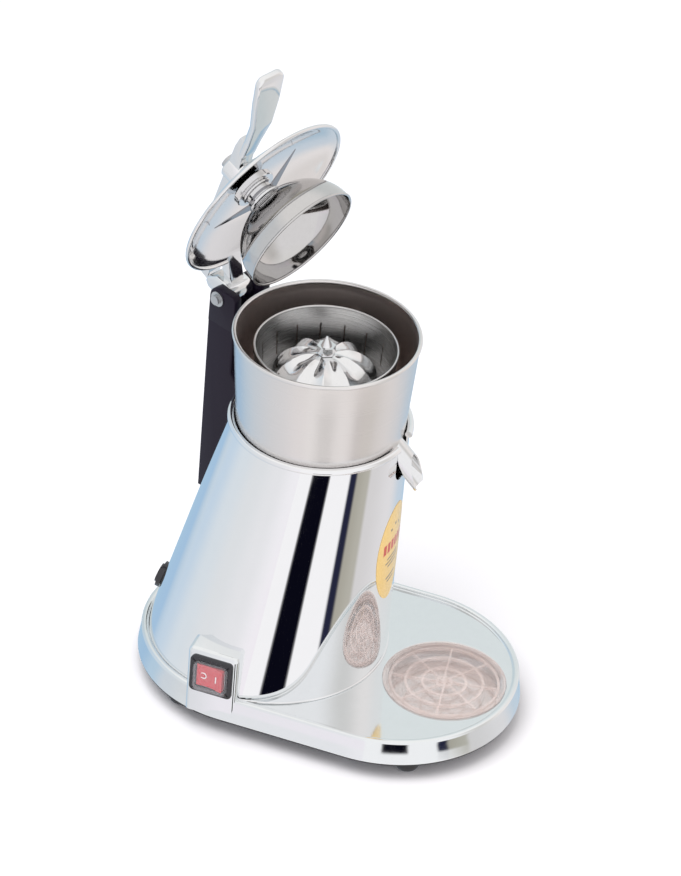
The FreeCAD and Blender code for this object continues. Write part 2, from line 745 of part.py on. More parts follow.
def motor_bolt_points():
    return [polar(S.bolt_circle, angle, S.axis_y) for angle in (0, 90, 180, 270)]


def drilled(item):
    return cut(item, *[cylinder(S.screw_radius + 0.1, 200, (x, y, lower_bell_z - 20))
                       for x, y in motor_bolt_points()])


# ----------------------------------------------------------------- spindle
def spindle():
    low = lower_bell_z - S.fan_height - 4
    neck = reamer_top_z - 3
    end = reamer_top_z + S.nut_height - 2
    r = S.shaft_radius
    made("drive_shaft", turned(
        ((0, low), (r, low), (r, neck), (S.shaft_end_radius, neck), (S.shaft_end_radius, end),
         (0, end)), at=axis))
    made("rotor_core", turned(
        ((r, stack_low_z), (S.rotor_radius, stack_low_z), (S.rotor_radius, stack_top_z),
         (r, stack_top_z)), at=axis))
    fan_z = lower_bell_z - S.fan_height - 3
    hub = turned(((r, fan_z), (14, fan_z), (14, fan_z + S.fan_height), (r, fan_z + S.fan_height)),
                 at=axis)
    disc = cut(cylinder(S.fan_radius, 1.5, (0, S.axis_y, fan_z)),
               cylinder(13, 10, (0, S.axis_y, fan_z - 4)))
    total = int(S.fan_blades.value)
    blades = []
    for number in range(total):
        blade = box(S.fan_radius - 1, 1.6, S.fan_height - 3.5, (0, S.axis_y, fan_z + 0.5))
        blades.append(turn(blade, (0, 0, 1), 360.0 / total * number))
    blades = cut(fuse(*blades), cylinder(13, 20, (0, S.axis_y, fan_z - 4)))
    made("cooling_fan", fuse(hub, disc, blades))
    slinger_z = motor_deck_z + S.hub_height + 1.5
    made("juice_slinger", turned(
        ((r, slinger_z), (S.hub_bore + 4, slinger_z), (S.hub_bore + 4, slinger_z + 2),
         (r, slinger_z + 2)), at=axis))


def reamer():
    r, t = S.reamer_radius, S.reamer_wall
    low = reamer_low_z
    crown = S.nut_across / 2 + 0.5
    shoulder = low + S.reamer_skirt
    dome = S.reamer_dome
    reach = r - crown
    bulge = (reach * reach + dome * dome) / (2 * reach) * 1.25
    inner_bulge = bulge - t

    def skin(swell):
        edge = r + swell
        return turned(
            ((0, low), (edge, low), (edge, shoulder), Arc(bulge + swell, 1),
             (crown, reamer_top_z + swell), (0, reamer_top_z + swell)), at=axis)

    room = turned(
        ((S.shaft_radius + 4, low - 1), (r - t, low - 1), (r - t, shoulder),
         Arc(inner_bulge, 1), (S.shaft_radius + 4, reamer_top_z - t - 2)), at=axis)
    total = int(S.rib_count.value) // 2
    blades = []
    for number in range(total):
        blade = box(2 * r + 10, S.rib_width, S.reamer_skirt + dome - 1)
        angle = 180.0 / total * number
        offset_x = (r + 5) * -math.cos(math.radians(angle)) + \
            S.rib_width / 2 * math.sin(math.radians(angle))
        offset_y = (r + 5) * -math.sin(math.radians(angle)) - \
            S.rib_width / 2 * math.cos(math.radians(angle))
        put(blade, offset_x, S.axis_y + offset_y, low + 1)
        blades.append(turn(blade, (0, 0, 1), angle))
    ribs = common(skin(S.rib_height), fuse(*blades))
    body = cut(fuse(skin(0), ribs), room)
    crown_cut = cylinder(crown, 20, (0, S.axis_y, reamer_top_z))
    bore = cylinder(S.shaft_radius, reamer_top_z - 3 - low + 5, (0, S.axis_y, low - 5))
    bore_end = cylinder(S.shaft_end_radius, 60, (0, S.axis_y, low))
    pin_z = low + 5
    pin = cylinder(2, 2 * S.shaft_radius + 6, (-S.shaft_radius - 3, S.axis_y, pin_z),
                   ((0, 1, 0), 90))
    made("reamer", cut(body, crown_cut, bore, bore_end, pin))
    pin = cylinder(2, 2 * S.shaft_radius + 6, (-S.shaft_radius - 3, S.axis_y, pin_z),
                   ((0, 1, 0), 90))
    made("drive_pin", pin)
    nodes["drive_shaft"] = made("drive_shaft", cut(nodes["drive_shaft"], cylinder(
        2, 40, (-20, S.axis_y, pin_z), ((0, 1, 0), 90))))
    nut = fresh("Part::Prism")
    nut.Polygon = 6
    bind(nut, Circumradius=S.nut_across / 1.732, Height=S.nut_height)
    put(nut, 0, S.axis_y, reamer_top_z)
    spike = cone(4.6, 0.8, S.spike_height, (0, S.axis_y, reamer_top_z + S.nut_height - 0.01))
    thread = cylinder(S.shaft_end_radius, S.nut_height - 2, (0, S.axis_y, reamer_top_z))
    made("spike_nut", cut(fuse(nut, spike), thread))


# -------------------------------------------------------------- hinge column
def column():
    w = S.column_width
    rear = S.axis_y + S.column_reach
    front = rear - S.column_depth
    ear = S.ear_radius
    top = hinge_z + ear
    foot_z = deck_z + 105
    profile = side_slab(
        w, (front, top - 3), (front, shell_top_z + 12), (S.axis_y + 40, shell_top_z - 10),
        (S.axis_y + 40, foot_z), (rear, foot_z), (rear, top - ear), Arc(ear, 1),
        (rear - ear, top), (front + 3, top))
    slot = box(S.ear_slot, 80, 60, (-S.ear_slot / 2, front - 10, hinge_z - ear - 4))
    bore = cylinder(S.pin_radius, w + 20, (-w / 2 - 10, hinge_y, hinge_z), ((0, 1, 0), 90))
    solid_y = S.axis_y + 50
    threads = [cylinder(S.screw_radius + 0.5, rear - 8 - solid_y, (0, solid_y, z), ((1, 0, 0), -90))
               for z in column_screw_heights()]
    body = carried(cut(profile, slot, bore, *threads), turned_frame)
    lip_room = cylinder(S.shell_top_radius + S.lip_bead + 0.6, 30,
                        (0, S.axis_y, shell_top_z - 4))
    made("hinge_column", cut(body, shell_loft(-0.2), lip_room))

    zone = carried(group(box(30, 80, 46, (-15, S.axis_y + 30, shell_top_z - 70))), turned_frame)
    plate = common(zone, cut(shell_loft(S.shell_wall), shell_loft(S.shell_wall + 3)))
    holes = [carried(group(item), turned_frame) for item in column_screw_holes()]
    made("column_backing_plate", cut(plate, *holes))
    screws = []
    for z in column_screw_heights():
        inner = backing_face_y(z)
        stem = cylinder(S.screw_radius + 0.5, rear - 8 - inner, (0, inner, z), ((1, 0, 0), -90))
        head = cylinder(S.head_radius + 0.6, 6, (0, inner - 3.5, z), ((1, 0, 0), -90))
        screws.append(carried(group(stem), turned_frame))
        screws.append(cut(carried(group(head), turned_frame), shell_loft_ring()))
    made("column_screws", group(fuse(*screws[:2]), fuse(*screws[2:])))
    length = w + 8
    pin = cylinder(S.pin_radius, length, (-length / 2, hinge_y, hinge_z), ((0, 1, 0), 90))
    made("hinge_pin", carried(group(pin), turned_frame))
    clips = []
    for side in (w / 2, -w / 2 - S.clip_thick):
        ring = cylinder(S.pin_radius + 2.4, S.clip_thick, (side, hinge_y, hinge_z), ((0, 1, 0), 90))
        hole = cylinder(S.pin_radius, 20, (side - 8, hinge_y, hinge_z), ((0, 1, 0), 90))
        clips.append(cut(ring, hole))
    made("pin_clips", carried(group(*clips), turned_frame))


def shell_loft_ring():
    """The solid that the shell wall and the backing plate fill together."""
    return cut(shell_loft(0), shell_loft(S.shell_wall + 3))


def backing_face_y(z):
    """The inner face of the backing plate on the turned middle plane at a height."""
    share = (shell_top_z - z) / S.shell_height
    radius = S.shell_top_radius + (S.shell_low_radius - S.shell_top_radius) * share
    shift = (half_straight - S.axis_y) * share
    side = shift * sine(S.lever_turn)
    outside = S.axis_y + shift * cosine(S.lever_turn) + root(radius * radius - side * side)
    return outside - S.shell_wall - 3.4


# ------------------------------------------------------------------- lever
def lever():
    top = hinge_z
    rim_z = bowl_rim_z + S.dish_clear
    dish_z = rim_z + S.dish_bead
    knuckle_w = S.ear_slot - 2 * S.fit_gap
    centre = S.axis_y
    arm_low = dish_z + S.dish_dome + 3
    knuckle = cylinder(S.ear_radius, knuckle_w, (-knuckle_w / 2, hinge_y, top), ((0, 1, 0), 90))
    arm = side_slab(
        S.arm_width, (hinge_y + 9, top + 2), (hinge_y + 9, top + 26), Arc(22, 1),
        (hinge_y - 3, top + 45), (centre - 26, arm_low + 16), (centre - 38, arm_low + 14),
        (centre - 20, arm_low + 1), (centre + 20, arm_low - 1), (hinge_y - 32, top + 29),
        (hinge_y - 12, top + 13), (hinge_y - 8, top + 1))
    web = side_slab(
        knuckle_w, (hinge_y + 9, top), (hinge_y + 9, top + 18), (hinge_y + 3, top + 23),
        (hinge_y - 7, top + 14), (hinge_y - 9, top))
    low, tip = arm_low - 2, S.paddle_end
    paddle = side_slab(
        S.paddle_width, (centre - 26, low + 13), (centre - 48, low + 12),
        (centre - tip + 6, low + 22), Arc(7, 1), (centre - tip, low + 16.5),
        (centre - 60, low + 7), (centre - 30, low + 6))
    sides = [turn(box(20, 60, 60), (0, 0, 1), angle) for angle in (-12, 12)]
    put(sides[0], S.arm_width / 2, centre - 64, arm_low - 20)
    put(sides[1], -S.arm_width / 2 - 20 * cosine(12), centre - 64 - 20 * sine(12), arm_low - 20)
    paddle = cut(paddle, *sides)
    pad = cylinder(11, 18.5, (0, centre, arm_low - 3))
    bush_bore = cylinder(S.pin_radius + 1.5, 60, (-30, hinge_y, top), ((0, 1, 0), 90))
    bolt_bore = cylinder(3, 60, (0, centre, arm_low - 30))
    body = cut(fuse(knuckle, arm, web, paddle, pad), bush_bore, bolt_bore)
    made("lever_arm", carried(body, lever_frame))
    bush = cut(cylinder(S.pin_radius + 1.5, knuckle_w, (-knuckle_w / 2, hinge_y, top),
                        ((0, 1, 0), 90)),
               cylinder(S.pin_radius + S.run_gap, 60, (-30, hinge_y, top), ((0, 1, 0), 90)))
    made("knuckle_bush", carried(bush, lever_frame))

    r = S.dish_radius - S.dish_bead
    rise, t = S.dish_dome, S.dish_wall
    bulge = (r * r + rise * rise) / (2 * rise)
    flat = 12
    dome = turned(
        ((3, dish_z + rise), (flat, dish_z + rise), Arc(bulge, -1), (r, dish_z),
         (r - t, dish_z), Arc(bulge - t, 1), (flat, dish_z + rise - t), (3, dish_z + rise - t)))
    bead = torus(r, S.dish_bead, (0, 0, dish_z))
    made("lid_dish", carried(fuse(dome, bead), lever_frame, centre))

    cup_z = rim_z - S.cup_drop
    cup_top = cup_z + S.cup_depth
    c, depth, ct = S.cup_radius, S.cup_depth, S.cup_wall
    cup_bulge = (c * c + depth * depth) / (2 * depth) + 0.5
    cup = turned(
        ((3, cup_top), (8, cup_top), Arc(cup_bulge, -1), (c, cup_z), (c - ct, cup_z),
         Arc(cup_bulge - ct, 1), (8, cup_top - ct), (3, cup_top - ct)))
    cup_ring = torus(c - ct / 2, S.cup_bead, (0, 0, cup_z))
    made("press_cup", carried(fuse(cup, cup_ring), lever_frame, centre))
    under = dish_z + rise - t
    leaf_z = cup_top + 4
    made("press_stem", carried(turned(
        ((3, cup_top), (8, cup_top), (S.stem_radius + 3, cup_top - 0.6),
         (S.stem_radius + 3, leaf_z - 1.5),
         (S.stem_radius, leaf_z - 1.5), (S.stem_radius, leaf_z), (3, leaf_z))),
        lever_frame, centre))
    low = leaf_z + S.leaf_thick
    made("press_neck", carried(turned(
        ((3, low), (S.stem_radius, low), (S.stem_radius, low + 4), (S.stem_radius + 2, low + 4),
         (S.stem_radius + 2, low + 6), (S.boss_radius, low + 6), (S.boss_radius, under - 3.2),
         (12, under), (3, under))), lever_frame, centre))
    tip, half = S.leaf_half, S.leaf_width / 2
    disc = turned(((3, leaf_z), (S.stem_radius + 1, leaf_z),
                   (S.stem_radius + 1, leaf_z + S.leaf_thick), (3, leaf_z + S.leaf_thick)))
    start = S.stem_radius + 0.2
    wings = []
    for side in (-1, 1):
        wings.append(side_slab(
            2 * half, (side * start, leaf_z), (side * tip, leaf_z + S.leaf_rise),
            (side * tip, leaf_z + S.leaf_rise + 0.4), (side * start, leaf_z + S.leaf_thick)))
    plan = put(plan_slab(40, (-half, -start), (-0.6, -tip), (0.6, -tip), (half, -start),
                         (half, start), (0.6, tip), (-0.6, tip), (-half, start)), 0, 0, leaf_z - 10)
    hub = cylinder(S.stem_radius + 1, 40, (0, 0, leaf_z - 10))
    hole = cylinder(3, 60, (0, 0, leaf_z - 20))
    leaf = cut(common(fuse(disc, *wings), fuse(plan, hub)), hole)
    spun = turn(group(leaf), (0, 0, 1), 45)
    made("leaf_spring", carried(group(spun), lever_frame, centre))
    stem = cylinder(3, arm_low + 19 - cup_top + 2.5, (0, centre, cup_top - 2.5))
    head = cylinder(7, 1.4, (0, centre, cup_top - ct - 1.4))
    cap = cylinder(6.5, 4, (0, centre, arm_low + 15.5))
    made("press_bolt", carried(fuse(stem, head, cap), lever_frame))


# ------------------------------------------------------------ switch and inlet
def switch():
    face = -(half_width - 1)
    z = switch_z()
    y = S.switch_y
    long, tall = S.bezel_length, S.bezel_height
    edge = S.bezel_border
    frame = box(S.bezel_thick, long, tall, (face - S.bezel_thick, y - long / 2, z - tall / 2))
    inside_y, inside_z = long - 2 * edge, tall - 2 * edge
    opening = box(40, inside_y, inside_z, (face - 20, y - inside_y / 2, z - inside_z / 2))
    made("switch_bezel", cut(frame, opening))
    case_y, case_z = inside_y + 5.4, inside_z + 5.4
    case = box(24, case_y, case_z, (face, y - case_y / 2, z - case_z / 2))
    room = box(12, inside_y, inside_z, (face - 1, y - inside_y / 2, z - inside_z / 2))
    blades = []
    for row in (-6, 6):
        for col in (-6, 6):
            blades.append(box(9, 1, 5, (face + 23, y + row - 0.5, z + col - 2.5)))
    made("switch_case", fuse(cut(case, room), *blades))
    gap = 0.8
    half = inside_y / 2 - gap
    front = S.bezel_thick + 1.2
    pivot_x = face + 1.5
    out = front + 1.5
    key = plan_slab(inside_z - 2 * gap, (-out, half), (-out, -half), (1, -half),
                    (6, -half * 0.4), (6, half * 0.4), (1, half))
    hollow = cylinder(30, 60, (-out - 28.8, 0, -5))
    rocker = turn(put(group(cut(key, hollow)), pivot_x, y, z - inside_z / 2 + gap), (0, 0, 1),
                  -S.rocker_throw)
    made("switch_rocker", rocker)
    h = S.boot_height + front - S.bezel_thick
    boot_low = face - S.bezel_thick - h
    outer = box(h, long - 4, tall - 4, (boot_low, y - long / 2 + 2, z - tall / 2 + 2))
    inner = box(h, long - 4 - 2 * S.boot_wall, tall - 4 - 2 * S.boot_wall,
                (boot_low + S.boot_wall, y - long / 2 + 2 + S.boot_wall,
                 z - tall / 2 + 2 + S.boot_wall))
    made("switch_boot", cut(outer, inner))


def inlet():
    tilt = gland_tilt()
    x, y, z = gland_at()
    spin = ((1, 0, 0), -90 + tilt)
    body = cylinder(S.gland_radius, 24, (x, y - 4 * cosine(tilt), z - 4 * sine(tilt)), spin)
    collar = cylinder(S.gland_radius + 3, 3.5,
                      (x, y + 14.6 * cosine(tilt), z + 14.6 * sine(tilt)), spin)
    bore = cylinder(S.gland_bore, 60, (x, y - 20 * cosine(tilt), z - 20 * sine(tilt)), spin)
    made("cable_gland", cut(fuse(body, collar), bore))
    nut = cylinder(S.gland_radius + 3, 4, (x, y + 8 * cosine(tilt), z + 8 * sine(tilt)), spin)
    hole = cylinder(S.gland_radius, 60, (x, y - 20 * cosine(tilt), z - 20 * sine(tilt)), spin)
    made("gland_nut", cut(nut, hole))
    cx, cy = capacitor_at()
    can = cylinder(S.capacitor_radius, S.capacitor_height, (cx, cy, deck_z))
    stud = cylinder(4, 12, (cx, cy, deck_z - 11))
    made("start_capacitor", fuse(can, stud))
    nut = fresh("Part::Prism")
    nut.Polygon = 6
    nut.Circumradius = 7.5
    bind(nut, Height=4)
    put(nut, cx, cy, deck_z - S.base_wall - 4)
    made("capacitor_nut", cut(nut, cylinder(4, 30, (cx, cy, deck_z - 20))))
    block = box(34, 16, 12, (-50, S.axis_y + 76, deck_z))
    wells = [cylinder(2.5, 8, (-45 + 8 * step, S.axis_y + 84, deck_z + 6)) for step in range(4)]
    made("terminal_block", cut(block, *wells))


# -------------------------------------------------------------- tray and label
def tray():
    y = S.axis_y - S.tray_back
    r, t = S.tray_radius, S.tray_wall
    low = S.foot_height + 3 + t + S.fit_gap
    top = deck_z + S.fit_gap
    made("drip_tray", turned(
        ((0, low), (r - 0.5, low), (r - 0.5, top), (r + S.tray_flange, top),
         (r + S.tray_flange, top + t), (r - 1.5 - t, top + t), (r - 1.5 - t, top - 2.5),
         (r - 5, top - 2.5), (r - 5, low + t), (0, low + t)), at=(0, y, 0)))
    grid_z = top - 2.5
    outer = r - 1.5 - t - S.fit_gap
    rings = []
    for radius in (outer, outer * 0.72, outer * 0.42, outer * 0.16):
        ring = cut(cylinder(radius, S.grid_thick, (0, y, grid_z)),
                   cylinder(radius - 2.2, S.grid_thick + 4, (0, y, grid_z - 2)))
        rings.append(ring)
    spokes = []
    total = int(S.grid_spokes.value)
    for number in range(total):
        spoke = box(outer - 1, 1.6, S.grid_thick, (0, y, grid_z))
        spokes.append(turn(spoke, (0, 0, 1), 360.0 / total * number + 11))
    made("drip_grid", fuse(*rings, *spokes))


def label():
    """An oval plate that follows the shell's front."""
    oval = fresh("Part::Ellipse")
    bind(oval, MajorRadius=S.label_tall / 2, MinorRadius=S.label_wide / 2)
    face = fresh("Part::Face")
    face.Sources = [oval]
    prism = fresh("Part::Extrusion")
    prism.Base = face
    prism.DirMode = "Custom"
    prism.Dir = V(0, 0, 1)
    prism.LengthFwd = 120
    prism.Solid = True
    turn_to_front = FreeCAD.Rotation(V(1, 0, 0), 90) * FreeCAD.Rotation(V(0, 0, 1), 90)
    prism.Placement = FreeCAD.Placement(V(0, 0, 0), turn_to_front)
    put(prism, 0, S.axis_y, deck_z + S.shell_height * 0.52)
    skin = cut(shell_loft(-S.label_thick), shell_loft(0))
    made("front_label", common(prism, skin))


base_pieces()
feet()
shell()
bowl()
strainer()
seal()
motor()
spindle()
reamer()
column()
lever()
switch()
inlet()
tray()
label()
doc.recompute()

for item in doc.Objects:
    if "Invalid" in item.State or "Error" in item.State:
        raise SystemExit("%s (%s) did not build: %s" % (item.Name, item.Label, item.State))
for name in sorted(nodes):
    shape = nodes[name].Shape
    if shape.isNull() or not shape.isValid() or not shape.Solids:
        raise SystemExit("%s has no valid solid" % name)
for name in sorted(nodes):
    shape = nodes[name].Shape
    shape.exportStep("parts/%s.step" % name)
    print(name, len(shape.Solids), round(shape.Volume))
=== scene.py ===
import json
import math
import bpy
import bmesh
from mathutils import Matrix, Vector


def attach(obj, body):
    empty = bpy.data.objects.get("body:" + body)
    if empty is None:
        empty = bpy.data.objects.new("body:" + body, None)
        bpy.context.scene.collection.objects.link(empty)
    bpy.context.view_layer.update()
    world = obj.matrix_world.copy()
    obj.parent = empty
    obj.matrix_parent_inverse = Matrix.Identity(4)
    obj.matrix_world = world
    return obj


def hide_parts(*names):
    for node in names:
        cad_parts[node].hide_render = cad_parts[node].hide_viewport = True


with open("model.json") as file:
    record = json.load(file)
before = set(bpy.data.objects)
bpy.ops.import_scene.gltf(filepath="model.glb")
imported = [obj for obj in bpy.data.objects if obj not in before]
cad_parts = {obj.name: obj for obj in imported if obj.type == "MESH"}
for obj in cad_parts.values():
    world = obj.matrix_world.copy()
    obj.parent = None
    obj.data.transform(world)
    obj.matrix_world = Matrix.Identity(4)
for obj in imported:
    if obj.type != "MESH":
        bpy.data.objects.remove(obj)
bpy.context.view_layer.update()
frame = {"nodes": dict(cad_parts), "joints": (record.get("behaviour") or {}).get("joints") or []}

# ---------------------------------------------------------------- base casting
# The oval base carries everything. It is cast zinc, polished and chromed, with a
# drafted skirt, a rolled rim, a sunk deck, a well for the tray and a switch housing.
MM = 0.001
HALF_STRAIGHT = 54.0
DECK_Z = 34.0
TRAY_Y = -98.5
AXIS_Y = 23.0


def arc(across, up, radius, first, last, steps=6):
    """Points of an arc in a cross-section, with the angles in degrees."""
    points = []
    for i in range(steps + 1):
        angle = math.radians(first + (last - first) * i / steps)
        points.append((across + radius * math.cos(angle), up + radius * math.sin(angle)))
    return points


def outline(mesh, points):
    """Joins (across, up) points into a line of edges in the XZ plane."""
    corners = [mesh.verts.new((x, 0, z)) for x, z in points]
    for pair in zip(corners, corners[1:]):
        mesh.edges.new(pair)


def spun(points, steps=128, angle=360.0, closed=True, mesh=None):
    """Turns a cross-section about the vertical axis."""
    mesh = mesh or bmesh.new()
    before = set(mesh.verts) | set(mesh.edges)
    outline(mesh, points + points[:1] if closed else points)
    fresh = [item for item in mesh.verts[:] + mesh.edges[:] if item not in before]
    bmesh.ops.spin(mesh, geom=fresh, cent=(0, 0, 0), axis=(0, 0, 1), steps=steps,
                   angle=math.radians(angle), use_merge=angle >= 360)
    bmesh.ops.remove_doubles(mesh, verts=mesh.verts, dist=1e-4)
    return mesh


def finished(mesh, name, body, replaced=(), place=None, crease=35.0):
    """Makes one object from a mesh in millimetres and gives it its place in the machine."""
    bmesh.ops.remove_doubles(mesh, verts=mesh.verts, dist=1e-4)
    if place is not None:
        bmesh.ops.transform(mesh, matrix=place, verts=mesh.verts)
    bmesh.ops.scale(mesh, vec=(MM, MM, MM), verts=mesh.verts)
    bmesh.ops.recalc_face_normals(mesh, faces=mesh.faces)
    data = bpy.data.meshes.new(name)
    mesh.to_mesh(data)
    mesh.free()
    data.shade_smooth()
    data.set_sharp_from_angle(angle=math.radians(crease))
    piece = bpy.data.objects.new(name, data)
    bpy.context.scene.collection.objects.link(piece)
    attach(piece, body)
    if replaced:
        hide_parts(*replaced)
    return piece


def wear_group():
    """Slow swells and fine grain over a surface, measured in the object's own space."""
    tree = bpy.data.node_groups.new("surface_wear", "ShaderNodeTree")
    face = tree.interface
    face.new_socket("Swell Size", in_out="INPUT", socket_type="NodeSocketFloat")
    face.new_socket("Grain Size", in_out="INPUT", socket_type="NodeSocketFloat")
    face.new_socket("Height", in_out="OUTPUT", socket_type="NodeSocketFloat")
    face.new_socket("Mask", in_out="OUTPUT", socket_type="NodeSocketFloat")
    enter = tree.nodes.new("NodeGroupInput")
    leave = tree.nodes.new("NodeGroupOutput")
    where = tree.nodes.new("ShaderNodeTexCoord")
    swell = tree.nodes.new("ShaderNodeTexNoise")
    swell.inputs["Detail"].default_value = 1.0
    grain = tree.nodes.new("ShaderNodeTexNoise")
    grain.inputs["Detail"].default_value = 5.0
    grain.inputs["Roughness"].default_value = 0.65
    for node, size in ((swell, "Swell Size"), (grain, "Grain Size")):
        tree.links.new(where.outputs["Object"], node.inputs["Vector"])
        tree.links.new(enter.outputs[size], node.inputs["Scale"])
    tree.links.new(swell.outputs["Fac"], leave.inputs["Height"])
    tree.links.new(grain.outputs["Fac"], leave.inputs["Mask"])
    return tree


def brushed_group():
    """Fine circular brush lines about the bowl's axis."""
    tree = bpy.data.node_groups.new("circular_brushing", "ShaderNodeTree")
    face = tree.interface
    face.new_socket("Density", in_out="INPUT", socket_type="NodeSocketFloat")
    face.new_socket("Centre Y", in_out="INPUT", socket_type="NodeSocketFloat")
    face.new_socket("Height", in_out="OUTPUT", socket_type="NodeSocketFloat")
    face.new_socket("Mask", in_out="OUTPUT", socket_type="NodeSocketFloat")
    enter = tree.nodes.new("NodeGroupInput")
    leave = tree.nodes.new("NodeGroupOutput")
    where = tree.nodes.new("ShaderNodeTexCoord")
    split = tree.nodes.new("ShaderNodeSeparateXYZ")
    shift = tree.nodes.new("ShaderNodeMath")
    shift.operation = "SUBTRACT"
    flat = tree.nodes.new("ShaderNodeCombineXYZ")
    reach = tree.nodes.new("ShaderNodeVectorMath")
    reach.operation = "LENGTH"
    line = tree.nodes.new("ShaderNodeCombineXYZ")
    lines = tree.nodes.new("ShaderNodeTexNoise")
    lines.inputs["Detail"].default_value = 3.0
    link = tree.links.new
    link(where.outputs["Object"], split.inputs["Vector"])
    link(split.outputs["Y"], shift.inputs[0])
    link(enter.outputs["Centre Y"], shift.inputs[1])
    link(split.outputs["X"], flat.inputs["X"])
    link(shift.outputs["Value"], flat.inputs["Y"])
    link(flat.outputs["Vector"], reach.inputs[0])
    link(reach.outputs["Value"], line.inputs["X"])
    link(split.outputs["Z"], line.inputs["Z"])
    link(line.outputs["Vector"], lines.inputs["Vector"])
    link(enter.outputs["Density"], lines.inputs["Scale"])
    link(lines.outputs["Fac"], leave.inputs["Height"])
    link(lines.outputs["Fac"], leave.inputs["Mask"])
    return tree


WEAR = wear_group()
BRUSHED = brushed_group()


def surface(name, colour, metallic=0.0, rough=(0.2, 0.3), swell=(20.0, 0.0), grain=900.0,
            brushed=0.0, shade=0.9, coat=0.0, alpha=1.0):
    """A finish whose colour and gloss drift a little over the surface."""
    finish = bpy.data.materials.new(name)
    finish.use_nodes = True
    tree = finish.node_tree
    shader = tree.nodes["Principled BSDF"]
    group = tree.nodes.new("ShaderNodeGroup")
    if brushed:
        group.node_tree = BRUSHED
        group.inputs["Density"].default_value = brushed
        group.inputs["Centre Y"].default_value = AXIS_Y * MM
    else:
        group.node_tree = WEAR
        group.inputs["Swell Size"].default_value = swell[0]
        group.inputs["Grain Size"].default_value = grain
    tint = tree.nodes.new("ShaderNodeMix")
    tint.data_type = "RGBA"
    tint.inputs["A"].default_value = (*[c * shade for c in colour], 1)
    tint.inputs["B"].default_value = (*colour, 1)
    gloss = tree.nodes.new("ShaderNodeMapRange")
    gloss.inputs["From Min"].default_value = 0.3
    gloss.inputs["From Max"].default_value = 0.7
    gloss.inputs["To Min"].default_value = rough[0]
    gloss.inputs["To Max"].default_value = rough[1]
    bump = tree.nodes.new("ShaderNodeBump")
    bump.inputs["Strength"].default_value = 1.0
    bump.inputs["Distance"].default_value = swell[1] * MM
    tree.links.new(group.outputs["Mask"], tint.inputs["Factor"])
    tree.links.new(tint.outputs["Result"], shader.inputs["Base Color"])
    tree.links.new(group.outputs["Mask"], gloss.inputs["Value"])
    tree.links.new(gloss.outputs["Result"], shader.inputs["Roughness"])
    tree.links.new(group.outputs["Height"], bump.inputs["Height"])
    tree.links.new(bump.outputs["Normal"], shader.inputs["Normal"])
    shader.inputs["Metallic"].default_value = metallic
    shader.inputs["Coat Weight"].default_value = coat
    shader.inputs["Coat Roughness"].default_value = 0.08
    shader.inputs["Alpha"].default_value = alpha
    return finish


SKIRT_BOTTOM = 16.0
COVER_RECESS = 3.0
WELL_RADIUS = 50.0
WELL_FLOOR = 20.6
FACE_X = -103.0
SWITCH_Y = 62.0
SWITCH_Z = 56.0
BLOCK_DEEP, BLOCK_LONG, BLOCK_TALL = 33.0, 43.0, 63.4
BLOCK_LOW = 17.0
BLOCK_FALL = 2.5
BLOCK_ROUND = 4.0
section = [(100.5, SKIRT_BOTTOM), (104.0, SKIRT_BOTTOM), (103.72, 18.0), (102.95, 24.0),
           (102.0, 31.2)]
section += arc(99.45, 34.4, 2.55, 0, 90)
section += arc(98.7, 34.4, 2.55, 90, 128, 3)
section += arc(96.0, 35.9, 1.9, -40, -90, 4)
section += [(95.4, DECK_Z), (94.6, DECK_Z)]
base = bmesh.new()
outline(base, section)
bmesh.ops.spin(base, geom=base.verts[:] + base.edges[:], cent=(0, 0, 0), axis=(0, 0, 1),
               steps=96, angle=math.pi)
bmesh.ops.translate(base, vec=(0, HALF_STRAIGHT, 0), verts=base.verts)
ends = [e for e in base.edges if e.is_boundary
        and all(abs(v.co.y - HALF_STRAIGHT) < 1e-4 for v in e.verts)]
straight = bmesh.ops.extrude_edge_only(base, edges=ends)
low_side = [item for item in straight["geom"] if isinstance(item, bmesh.types.BMVert)]
bmesh.ops.translate(base, vec=(0, -HALF_STRAIGHT, 0), verts=low_side)
bmesh.ops.mirror(base, geom=base.verts[:] + base.edges[:] + base.faces[:], axis="Y",
                 merge_dist=1e-3)
bmesh.ops.remove_doubles(base, verts=base.verts, dist=1e-3)
well = bmesh.ops.create_circle(base, segments=128, radius=WELL_RADIUS,
                               matrix=Matrix.Translation((0, TRAY_Y, DECK_Z)))
well_edges = list({e for v in well["verts"] for e in v.link_edges})
deck_edges = [e for e in base.edges if e.is_boundary and e not in well_edges
              and all(abs(v.co.z - DECK_Z) < 1e-3 for v in e.verts)]
bmesh.ops.triangle_fill(base, use_beauty=True, edges=deck_edges + well_edges,
                        normal=(0, 0, 1))
wall = bmesh.ops.extrude_edge_only(base, edges=well_edges)
ring = [item for item in wall["geom"] if isinstance(item, bmesh.types.BMVert)]
bmesh.ops.translate(base, vec=(0, 0, WELL_FLOOR - DECK_Z), verts=ring)
bmesh.ops.contextual_create(base, geom=[e for e in base.edges if e.is_boundary
                                        and abs(e.verts[0].co.z - WELL_FLOOR) < 1e-3])
under = [e for e in base.edges if e.is_boundary
         and all(abs(v.co.z - SKIRT_BOTTOM) < 1e-3 for v in e.verts)]
foot_rim = bmesh.ops.extrude_edge_only(base, edges=under)
foot_ring = [item for item in foot_rim["geom"] if isinstance(item, bmesh.types.BMVert)]
bmesh.ops.translate(base, vec=(0, 0, COVER_RECESS), verts=foot_ring)
bmesh.ops.contextual_create(base, geom=[e for e in base.edges if e.is_boundary])
